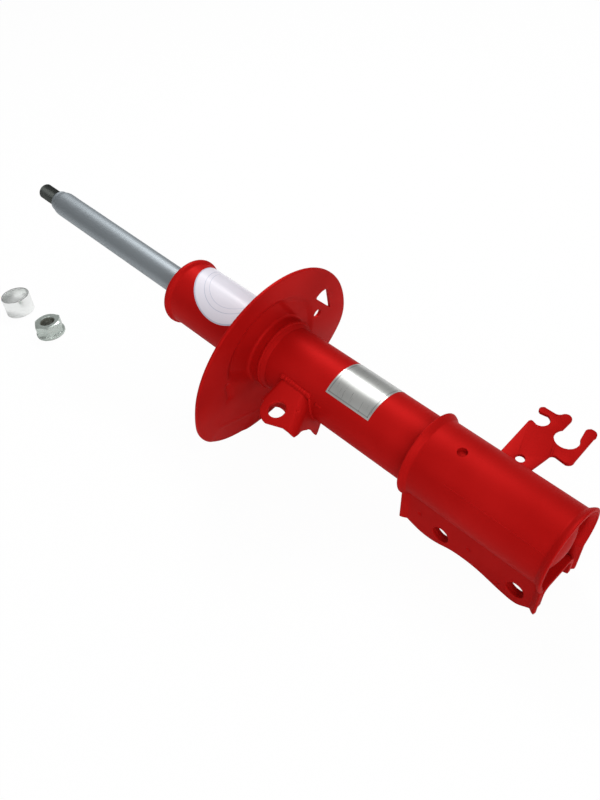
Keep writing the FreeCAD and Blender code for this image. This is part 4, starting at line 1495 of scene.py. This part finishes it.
@dataclass
class KnuckleClevis:
    """Keyhole-shaped pressing with two flanges, and the channel nested between them.

    The flanges' lower edge is given by stations and heights, the dimples by stations and depths
    below the axis, the press line by its two stations and its angle on the tube in degrees.
    The sleeve's cutters are turned a little, so that their edges miss those of the sheet.
    """

    tube_radius: float = 25.55
    sheet: float = 2.8
    inner_sheet: float = 3.4
    start_x: float = 453.0
    end_x: float = 563.5
    half_width: float = 21.4
    crease: float = 5.0
    rounding: float = 0.55
    lower_edge: tuple[Point, ...] = (
        (453.0, -47.0), (469.5, -52.3), (481.5, -52.3), (498.0, -48.0), (516.0, -48.0),
        (538.5, -53.0), (549.0, -53.5), (558.5, -48.0), (563.5, -46.0),
    )
    flare: float = 3.2
    flare_length: float = 5.5
    flare_rows: int = 12
    straight_rows: int = 52
    flange_steps: int = 14
    bend_steps: int = 8
    sleeve_steps: int = 54
    hole_radius: float = 6.5
    holes_x: Point = (486.0, 546.0)
    hole_depth: float = 40.0
    hole_chamfer: float = 0.35
    hole_turn: float = 0.07
    vent: Point = (481.0, -3.5)
    vent_radius: float = 3.5
    vent_length: float = 14.0
    vent_lift: float = 9.0
    dimples: tuple[Point, ...] = ((467.6, 33.0), (508.4, 33.3), (533.1, 45.6))
    dimple_radius: float = 3.0
    dimple_lift: float = 2.2
    dimple_angles: tuple[float, ...] = (2.6, 2.0, 1.57, 1.1, 0.5)
    press_line: Triple = (484.0, 557.0, 34.3)
    line_sink: float = 0.2
    line_size: Point = (0.45, 0.3)
    line_steps: int = 40
    channel_gap: float = 0.05
    channel_inset: Point = (2.0, 1.0)
    channel_lift: float = 1.0
    channel_rows: int = 80
    wall_steps: int = 10
    channel_rounding: float = 0.5
    channel_chamfer: float = 0.3
    web_bend: float = 5.0

    def bottom(self, x: float) -> float:
        """Find the flanges' lower edge, a smooth curve through its given points.

        Args:
            x: Station.

        Returns:
            The edge's height there.
        """
        knots = self.lower_edge
        index = max(i for i in range(len(knots) - 1) if knots[i][0] <= x + 1e-6)
        (x0, z0), (x1, z1) = knots[index], knots[index + 1]
        span = x1 - x0

        def slope(i: int) -> float:
            """Slope of the curve at a knot."""
            (low_x, low_z), (high_x, high_z) = knots[max(i - 1, 0)], knots[min(i + 1, len(knots) - 1)]
            return (high_z - low_z) / (high_x - low_x)

        t = (x - x0) / span
        start = (2 * t ** 3 - 3 * t ** 2 + 1) * z0 + (t ** 3 - 2 * t ** 2 + t) * span * slope(index)
        return start + (3 * t ** 2 - 2 * t ** 3) * z1 + (t ** 3 - t ** 2) * span * slope(index + 1)

    def flared(self, x: float) -> float:
        """How far the ends roll outwards at a station."""
        share = max(0.0, 1 - min(x - self.start_x, self.end_x - x) / self.flare_length)
        return self.flare * (3 * share ** 2 - 2 * share ** 3)

    def stations(self) -> list[float]:
        """Place the sleeve's rows, closer at the flared ends.

        Returns:
            Their stations.
        """
        length = self.end_x - self.start_x
        ends = between(0.0, self.flare_length, self.flare_rows)
        inner = between(self.flare_length, length - self.flare_length, self.straight_rows)[1:-1]
        return [self.start_x + offset for offset in (*ends, *inner, *(length - end for end in ends[::-1]))]

    def both_sides(self, x: float, half: Sequence[Point], middle: float) -> list[Vector]:
        """Row of points at a station.

        Args:
            x: The station.
            half: Places across and heights, from one edge towards the middle.
            middle: Height at the middle.

        Returns:
            The half, the middle and the half mirrored.
        """
        row = [Vector((x, y, z)) for y, z in half]
        return [*row, Vector((x, 0.0, middle)), *(Vector((x, -p.y, p.z)) for p in reversed(row))]

    def sleeve_section(self, x: float) -> list[Vector]:
        """Middle of the sleeve's sheet, whose creases join the flanges to the round.

        Args:
            x: Station.

        Returns:
            Points from one flange's edge round to the other's.
        """
        push = self.flared(x)
        half = self.sheet / 2
        outer = self.tube_radius + self.sheet
        centre_y = self.half_width + self.crease
        centre_z = -math.sqrt((outer + self.crease) ** 2 - centre_y ** 2)
        bend = self.crease - push + half
        radius = outer - half + push
        side = self.half_width - half + push
        join = math.atan2(-centre_z, -centre_y)
        points = [(side, z) for z in between(self.bottom(x), centre_z, self.flange_steps)[:-1]]
        for angle in between(math.pi, join, self.bend_steps)[:-1]:
            points.append((centre_y + bend * math.cos(angle), centre_z + bend * math.sin(angle)))
        for angle in between(join - math.pi, math.pi / 2, self.sleeve_steps)[:-1]:
            points.append((radius * math.cos(angle), radius * math.sin(angle)))
        return self.both_sides(x, points, radius)

    def sleeve(self) -> Shape:
        """Press the outer sheet, with its holes and dimples.

        Returns:
            The sleeve.
        """
        shape = grid([self.sleeve_section(x) for x in self.stations()]).closed()
        shape.thickened(self.sheet).eased(self.rounding)
        bolt = Drill(self.hole_radius, 2 * self.half_width, self.hole_chamfer, self.hole_turn)
        for x in self.holes_x:
            shape.cut(bolt.at((x, 0, -self.hole_depth), ACROSS))
        vent = Drill(self.vent_radius, self.vent_length, turn=self.hole_turn)
        shape.cut(vent.at((*self.vent, self.tube_radius + self.vent_lift), UP))
        radius = self.dimple_radius
        dome = [(radius * math.cos(a), radius * math.sin(a)) for a in self.dimple_angles]
        for x, depth in self.dimples:
            for side in (-1, 1):
                pit = turned([(-radius, 0.0), *dome, (radius, 0.0)], segments=24)
                shape.cut(pit.moved(shift(x, side * (self.half_width + self.dimple_lift), -depth)))
        return shape

    def channel(self) -> Shape:
        """Press the inner sheet, its web against the tube.

        Returns:
            The channel.
        """
        half = self.inner_sheet / 2
        outer_y = self.half_width - self.sheet - self.channel_gap
        side, web, bend = outer_y - half, -self.tube_radius - half, self.web_bend + half
        corner_y, corner_z = side - bend, web - bend
        first, last = self.channel_inset
        rows = []
        for x in between(self.start_x + first, self.end_x - last, self.channel_rows):
            low = self.bottom(x) + self.channel_lift
            section = [(side, z) for z in between(low, corner_z, self.wall_steps)[:-1]]
            for turn in between(0.0, math.pi / 2, self.bend_steps):
                section.append((corner_y + bend * math.cos(turn), corner_z + bend * math.sin(turn)))
            section += [(y, web) for y in between(corner_y, 0.0, 4)[1:-1]]
            rows.append(self.both_sides(x, section, web))
        shape = grid(rows).closed().thickened(self.inner_sheet).eased(self.channel_rounding)
        bolt = Drill(self.hole_radius, 2 * outer_y, self.channel_chamfer)
        for x in self.holes_x:
            shape.cut(bolt.at((x, 0, -self.hole_depth), ACROSS))
        return shape

    def build(self) -> None:
        """Make both pressings, and the thin raised line that the press left on the near side."""
        start, end, angle = self.press_line
        turn = math.radians(angle)
        reach = self.tube_radius + self.sheet - self.line_sink
        y, z = -reach * math.cos(turn), reach * math.sin(turn)
        path = [Vector((x, y, z)) for x in between(start, end, self.line_steps)]
        WeldBead(path, *self.line_size, wobble=(1.0, 1.0)).weld("sleeve_press_line", sharp=80)
        self.sleeve().piece("clevis_sleeve", RED, ["knuckle_outer_bracket"])
        self.channel().piece("clevis_channel", RED, ["knuckle_inner_bracket"])


@dataclass
class HosePlate:
    """Flat plate on the sleeve with a hose hook, a wide slot and a screw hole.

    Stations are counted from the sleeve's start. Each step of the edge is a corner, or a point
    that an arc passes and the arc's end.
    """

    sheet: float = 2.5
    base_x: float = 453.0
    root_y: float = 27.6
    root: Point = (34.9, 57.3)
    hole: Point = (47.6, 38.2)
    hole_radius: float = 3.3
    rounding: float = 0.45
    weld_y: float = 28.3
    weld_size: Point = (1.1, 0.8)
    weld_steps: int = 20
    edge: tuple[tuple[Point, ...], ...] = (
        ((32.6, 68.6),), ((33.2, 70.8), (35.4, 71.4)), ((38.4, 70.4),), ((44.3, 76.4), (39.6, 82.6)),
        ((35.2, 81.7),), ((31.4, 84.3), (34.4, 87.7)), ((42.6, 87.7),), ((44.5, 88.5), (46.3, 90.7)),
        ((51.2, 92.9), (54.0, 89.8)), ((54.0, 79.4),), ((60.8, 64.8), (67.2, 79.6)), ((65.4, 88.8),),
        ((69.0, 92.6), (73.6, 86.6)), ((74.9, 60.8),), ((74.1, 56.6), (69.9, 55.0)), ((63.9, 55.6),),
        ((61.3, 54.6), (60.5, 52.2)),
    )

    def build(self) -> None:
        """Make the plate and its weld."""
        start, end = self.root
        outline = [(start, self.root_y)]
        for step in self.edge:
            outline += step if len(step) == 1 else arc_through(outline[-1], *step)
        outline.append((end, self.root_y))
        half = self.sheet / 2
        shape = plate(outline, [ring_of(self.hole, self.hole_radius)], -half, half).eased(self.rounding)
        shape.moved(shift(self.base_x)).piece("hose_plate", RED, ["hose_bracket"])
        stations = between(self.base_x + start, self.base_x + end, self.weld_steps)
        path = [Vector((x, self.weld_y, -half)) for x in stations]
        WeldBead(path, *self.weld_size).weld("hose_plate_weld")


@dataclass
class PistonRod:
    """Chromed rod with its threaded stud.

    swell is where the taper bulges, as shares of its length and of its rise.
    """

    radius: float = 11.0
    stud_radius: float = 7.0
    stud_length: float = 24.5
    stud_neck: float = 6.0
    stud_point: Point = (1.6, 1.4)
    neck_from: Point = (2.2, 1.6)
    step_radius: float = 9.4
    step_length: float = 4.5
    step_edge: float = 0.8
    taper: float = 4.5
    swell: Point = (0.4, 0.7)
    bar_rounding: float = 1.0
    stud_rounding: float = 0.3
    shoulder_x: float = 325.0
    tail_x: float = 363.0
    tail_edge: float = 1.0
    spigot: float = 6.0
    pitch: float = 1.5
    groove: float = 0.72
    thread_x: Point = (1.9, 22.0)

    def bar(self) -> list[Point]:
        """Outline the rod behind its stud.

        Returns:
            Stations and radii, from the stud's shoulder to the tail.
        """
        step_end = self.stud_length + self.step_length
        rise = self.radius - self.step_radius
        return [
            (self.stud_length, 0.0),
            (self.stud_length, self.step_radius - self.step_edge),
            (self.stud_length + self.step_edge, self.step_radius),
            (step_end, self.step_radius),
            (step_end + self.swell[0] * self.taper, self.step_radius + self.swell[1] * rise),
            (step_end + self.taper, self.radius),
            (self.shoulder_x, self.radius),
            (self.shoulder_x, self.spigot),
            (self.tail_x - self.tail_edge, self.spigot),
            (self.tail_x, self.spigot - self.tail_edge),
            (self.tail_x, 0.0),
        ]

    def stud(self, core: float) -> list[Point]:
        """Outline the stud under its thread.

        Args:
            core: Radius at the thread's root.

        Returns:
            Stations and radii, from the tip to the shoulder.
        """
        end, neck = self.stud_length, self.stud_neck
        length, drop = self.stud_point
        first, last = self.neck_from
        line = [(0.0, 0.0), (0.0, core - drop), (length, core)]
        return [*line, (end - first, core), (end - last, neck), (end, neck), (end, 0.0)]

    def build(self) -> None:
        """Make the rod, its stud and the thread."""
        bar = turned(softened(self.bar(), self.bar_rounding), segments=160)
        bar.piece("rod_bar", ROD_FINISH, ["piston_rod"], Body.ROD)
        core = self.stud_radius - self.groove
        stud = turned(softened(self.stud(core), self.stud_rounding), segments=96)
        stud.piece("stud_core", STUD_FINISH, body=Body.ROD)
        start, end = self.thread_x
        thread = Thread(core, self.stud_radius, self.pitch, end - start).shape(STUD_FINISH)
        thread.moved(shift(start) @ Matrix.Rotation(math.pi / 2, 4, "Y"))
        thread.piece("stud_thread", STUD_FINISH, body=Body.ROD, sharp=20)


@dataclass
class TopNut:
    """Loose hexagon nut with a round collar."""

    across_flats: float = 24.0
    height: float = 14.5
    collar: float = 14.0
    collar_height: float = 3.0
    collar_slope: float = 1.5
    collar_edge: Point = (0.7, 0.9)
    bore: float = 6.45
    thread_root: float = 7.05
    pitch: float = 1.5
    chamfer: float = 1.3
    mouth_depth: float = 0.78
    bevel: float = 1.2
    bevel_slope: float = 2.0
    bevel_steps: int = 10
    corner_cut: float = 0.15
    levels: tuple[float, ...] = (
        0.0, 0.2, 0.45, 0.7, 1.4, 2.2, 2.9, 3.1, 3.5, 4.0, 4.5, 5.5, 8.0, 10.5, 12.0
    )
    segments: int = 180

    def reach(self, z: float, angle: float) -> float:
        """Find the nut's outside.

        Args:
            z: Height.
            angle: Direction from the axis.

        Returns:
            Its distance from the axis.
        """
        sixth, half = math.pi / 3, self.across_flats / 2
        flat = half / math.cos((angle + sixth / 2) % sixth - sixth / 2)
        bevelled = max(0.0, z - (self.height - self.bevel)) * self.bevel_slope
        hexagon = min(flat, self.across_flats / math.sqrt(3) - bevelled - self.corner_cut)
        if z >= self.collar_height + self.collar_slope:
            return hexagon
        slope = max(0.0, z - self.collar_height) * (self.collar - half) / self.collar_slope
        edge_height, edge_slope = self.collar_edge
        return max(hexagon, self.collar - max(slope, (edge_height - z) * edge_slope))

    def build(self) -> None:
        """Make the nut and its thread."""
        levels = [*self.levels, *between(self.height - self.bevel, self.height, self.bevel_steps)]
        root, mouth, inset = self.thread_root, self.bore + self.chamfer, self.mouth_depth
        inside = [(mouth, self.height), (root, self.height - inset), (root, inset), (mouth, 0.0)]
        rows = []
        for angle in full_turn(self.segments):
            section = [(self.reach(z, angle), z) for z in levels] + inside
            rows.append([(radius * math.cos(angle), radius * math.sin(angle), z) for radius, z in section])
        nut = grid(rows, wrap=True, loop=True).closed()
        nut.piece("loose_nut", NUT_ZINC, ["top_nut"], Body.NUT, Place.NUT, sharp=25)
        thread = Thread(root, self.bore, self.pitch, self.height - 2 * self.chamfer).shape(NUT_THREAD)
        thread.moved(shift(z=self.chamfer))
        thread.piece("loose_nut_thread", NUT_THREAD, (), Body.NUT, Place.NUT, sharp=20)


@dataclass
class SpacerRing:
    """Loose thin-walled sleeve."""

    outer: float = 14.2
    bore: float = 12.9
    height: float = 18.6
    rounding: float = 0.3

    def build(self) -> None:
        """Make the ring."""
        corners = [(0.0, self.bore), (0.0, self.outer), (self.height, self.outer), (self.height, self.bore)]
        ring = turned(softened(corners, self.rounding), segments=128, upright=True)
        ring.piece("loose_ring", ZINC, ["spacer_ring"], Body.RING, Place.RING)


@dataclass
class PackedPieces:
    """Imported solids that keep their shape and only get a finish."""

    finishes: tuple[tuple[Finish, tuple[str, ...]], ...] = (
        (RUBBER, ("oil_seal", "guide_o_ring")),
        (SINTER, ("rod_guide", "base_valve_body", "piston")),
        (BRONZE, ("guide_bush",)),
        (STEEL, ("inner_cylinder", "base_valve_plate", "base_valve_bolt")),
        (STEEL, ("rebound_stop_ring", "compression_shims", "rebound_shims", "piston_nut")),
        (BAND_FINISH, ("piston_band",)),
        (ELASTOMER, ("rebound_bumper",)),
    )

    def build(self) -> None:
        """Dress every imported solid."""
        for finish, nodes in self.finishes:
            for node in nodes:
                materials = frame["nodes"][node].data.materials
                materials.clear()
                materials.append(finish.material())
                LOG.info("%s keeps its packed shape", node)


def stand(item: bpy.types.Object, axes: Sequence[Vector], at: Sequence[float]) -> None:
    """Place a lamp or camera.

    Args:
        item: The object.
        axes: Its own X, Y and Z in the model.
        at: Its place.
    """
    pose = Matrix(axes).transposed().to_4x4()
    pose.translation = at
    item.matrix_world = pose


@dataclass(frozen=True)
class Lamp:
    """Oblong soft lamp that points at the strut; places and sizes are in metres."""

    name: str
    at: Triple
    size: Point
    power: float
    aim: Triple = (0.0, 0.0, 0.06)

    def build(self) -> None:
        """Hang the lamp."""
        data = bpy.data.lights.new(self.name, "AREA")
        data.shape = "RECTANGLE"
        data.size, data.size_y = self.size
        data.energy = self.power
        back = (Vector(self.at) - Vector(self.aim)).normalized()
        across = (Vector((1, 0, 0)) - back * back.x).normalized()
        stand(placed(self.name, data), (across, back.cross(across), back), self.at)


@dataclass
class Studio:
    """Floor, lamps, world and camera, whose place and axes are in the strut's frame."""

    focal_pixels: float = 850.0
    long_side: float = 800.0
    sensor: float = 36.0
    clip: Point = (0.01, 50.0)
    eye: Triple = (651.6, -305.9, 444.6)
    right: Triple = (0.709875, 0.703917, -0.024049)
    up: Triple = (-0.508102, 0.535451, 0.674629)
    forward: Triple = (-0.487760, 0.466683, -0.737765)
    lens_shift: Point = (0.00035, 0.0005)
    floor_size: float = 6.0
    floor_scale: float = 4.0
    floor_greys: tuple[Triple, Triple] = ((0.90, 0.90, 0.90), (0.93, 0.93, 0.93))
    floor_glow: float = 0.97
    world_light: float = 0.20
    lamps: tuple[Lamp, ...] = (
        Lamp("key", (-0.35, 0.50, 1.20), (1.2, 0.8), 8.5),
        Lamp("strip", (-0.42, 0.61, 1.11), (0.5, 0.22), 4.0),
        Lamp("end", (1.5, -0.5, 0.9), (1.3, 1.3), 16.0),
        Lamp("fill", (0.3, -1.2, 0.8), (1.2, 1.0), 4.5),
    )

    def build(self) -> None:
        """Set up the stage."""
        self.floor()
        self.world()
        for lamp in self.lamps:
            lamp.build()
        self.camera()
        bpy.context.scene.view_settings.view_transform = "Standard"

    def floor(self) -> None:
        """Pale floor that reads as white to the camera and keeps a soft shadow."""
        size = self.floor_size
        mesh = bpy.data.meshes.new("floor")
        corners = [(-size, -size, 0), (size, -size, 0), (size, size, 0), (-size, size, 0)]
        mesh.from_pydata(corners, [], [(0, 1, 2, 3)])
        material = bpy.data.materials.new("pale_floor")
        mesh.materials.append(material)
        tree = ShaderTree(material)
        mottle = tree.mix(tree.noise(self.floor_scale), *self.floor_greys)
        matt = tree.sock("ShaderNodeBsdfDiffuse", {"Color": mottle})
        glow = tree.sock("ShaderNodeEmission", {"Color": (1, 1, 1), "Strength": 1.0})
        seen = tree.sock("ShaderNodeLightPath", output="Is Camera Ray") * self.floor_glow
        shader = tree.sock("ShaderNodeMixShader", {0: seen, 1: matt, 2: glow})
        tree.add("ShaderNodeOutputMaterial", {"Surface": shader})
        placed("floor", mesh)

    def world(self) -> None:
        """Even grey light that the camera sees as white."""
        world = bpy.data.worlds.new("studio")
        bpy.context.scene.world = world
        world.use_nodes = True
        tree = NodeTree(world.node_tree)
        seen = tree.sock("ShaderNodeLightPath", output="Is Camera Ray")
        strengths = (self.world_light, 1.0)
        lights = [{"Color": (1, 1, 1), "Strength": strength} for strength in strengths]
        dim, white = (tree.sock("ShaderNodeBackground", light) for light in lights)
        mixed = tree.sock("ShaderNodeMixShader", {0: seen, 1: dim, 2: white})
        tree.add("ShaderNodeOutputWorld", {"Surface": mixed})

    def camera(self) -> None:
        """Camera at the photograph's viewing angle."""
        data = bpy.data.cameras.new("camera")
        data.sensor_width = self.sensor
        data.lens = self.focal_pixels / self.long_side * self.sensor
        data.shift_x, data.shift_y = self.lens_shift
        data.clip_start, data.clip_end = self.clip
        camera = placed("camera", data)
        strut = STRUT_FRAME.places[Place.STRUT]
        turn = strut.to_3x3().normalized()
        axes = (Vector(self.right), Vector(self.up), -Vector(self.forward))
        stand(camera, [turn @ axis for axis in axes], strut @ Vector(self.eye))
        bpy.context.scene.camera = camera


def main() -> None:
    """Build every part of the strut, then the studio."""
    logging.basicConfig(level=logging.INFO, format="%(name)s: %(message)s")
    builders = (
        DamperTube(), SpringSeat(), LinkLug(), KnuckleClevis(), HosePlate(),
        PistonRod(), TopNut(), SpacerRing(), PackedPieces(), Studio(),
    )
    for builder in builders:
        LOG.info("building %s", type(builder).__name__)
        builder.build()


if __name__ == "__main__":
    main()
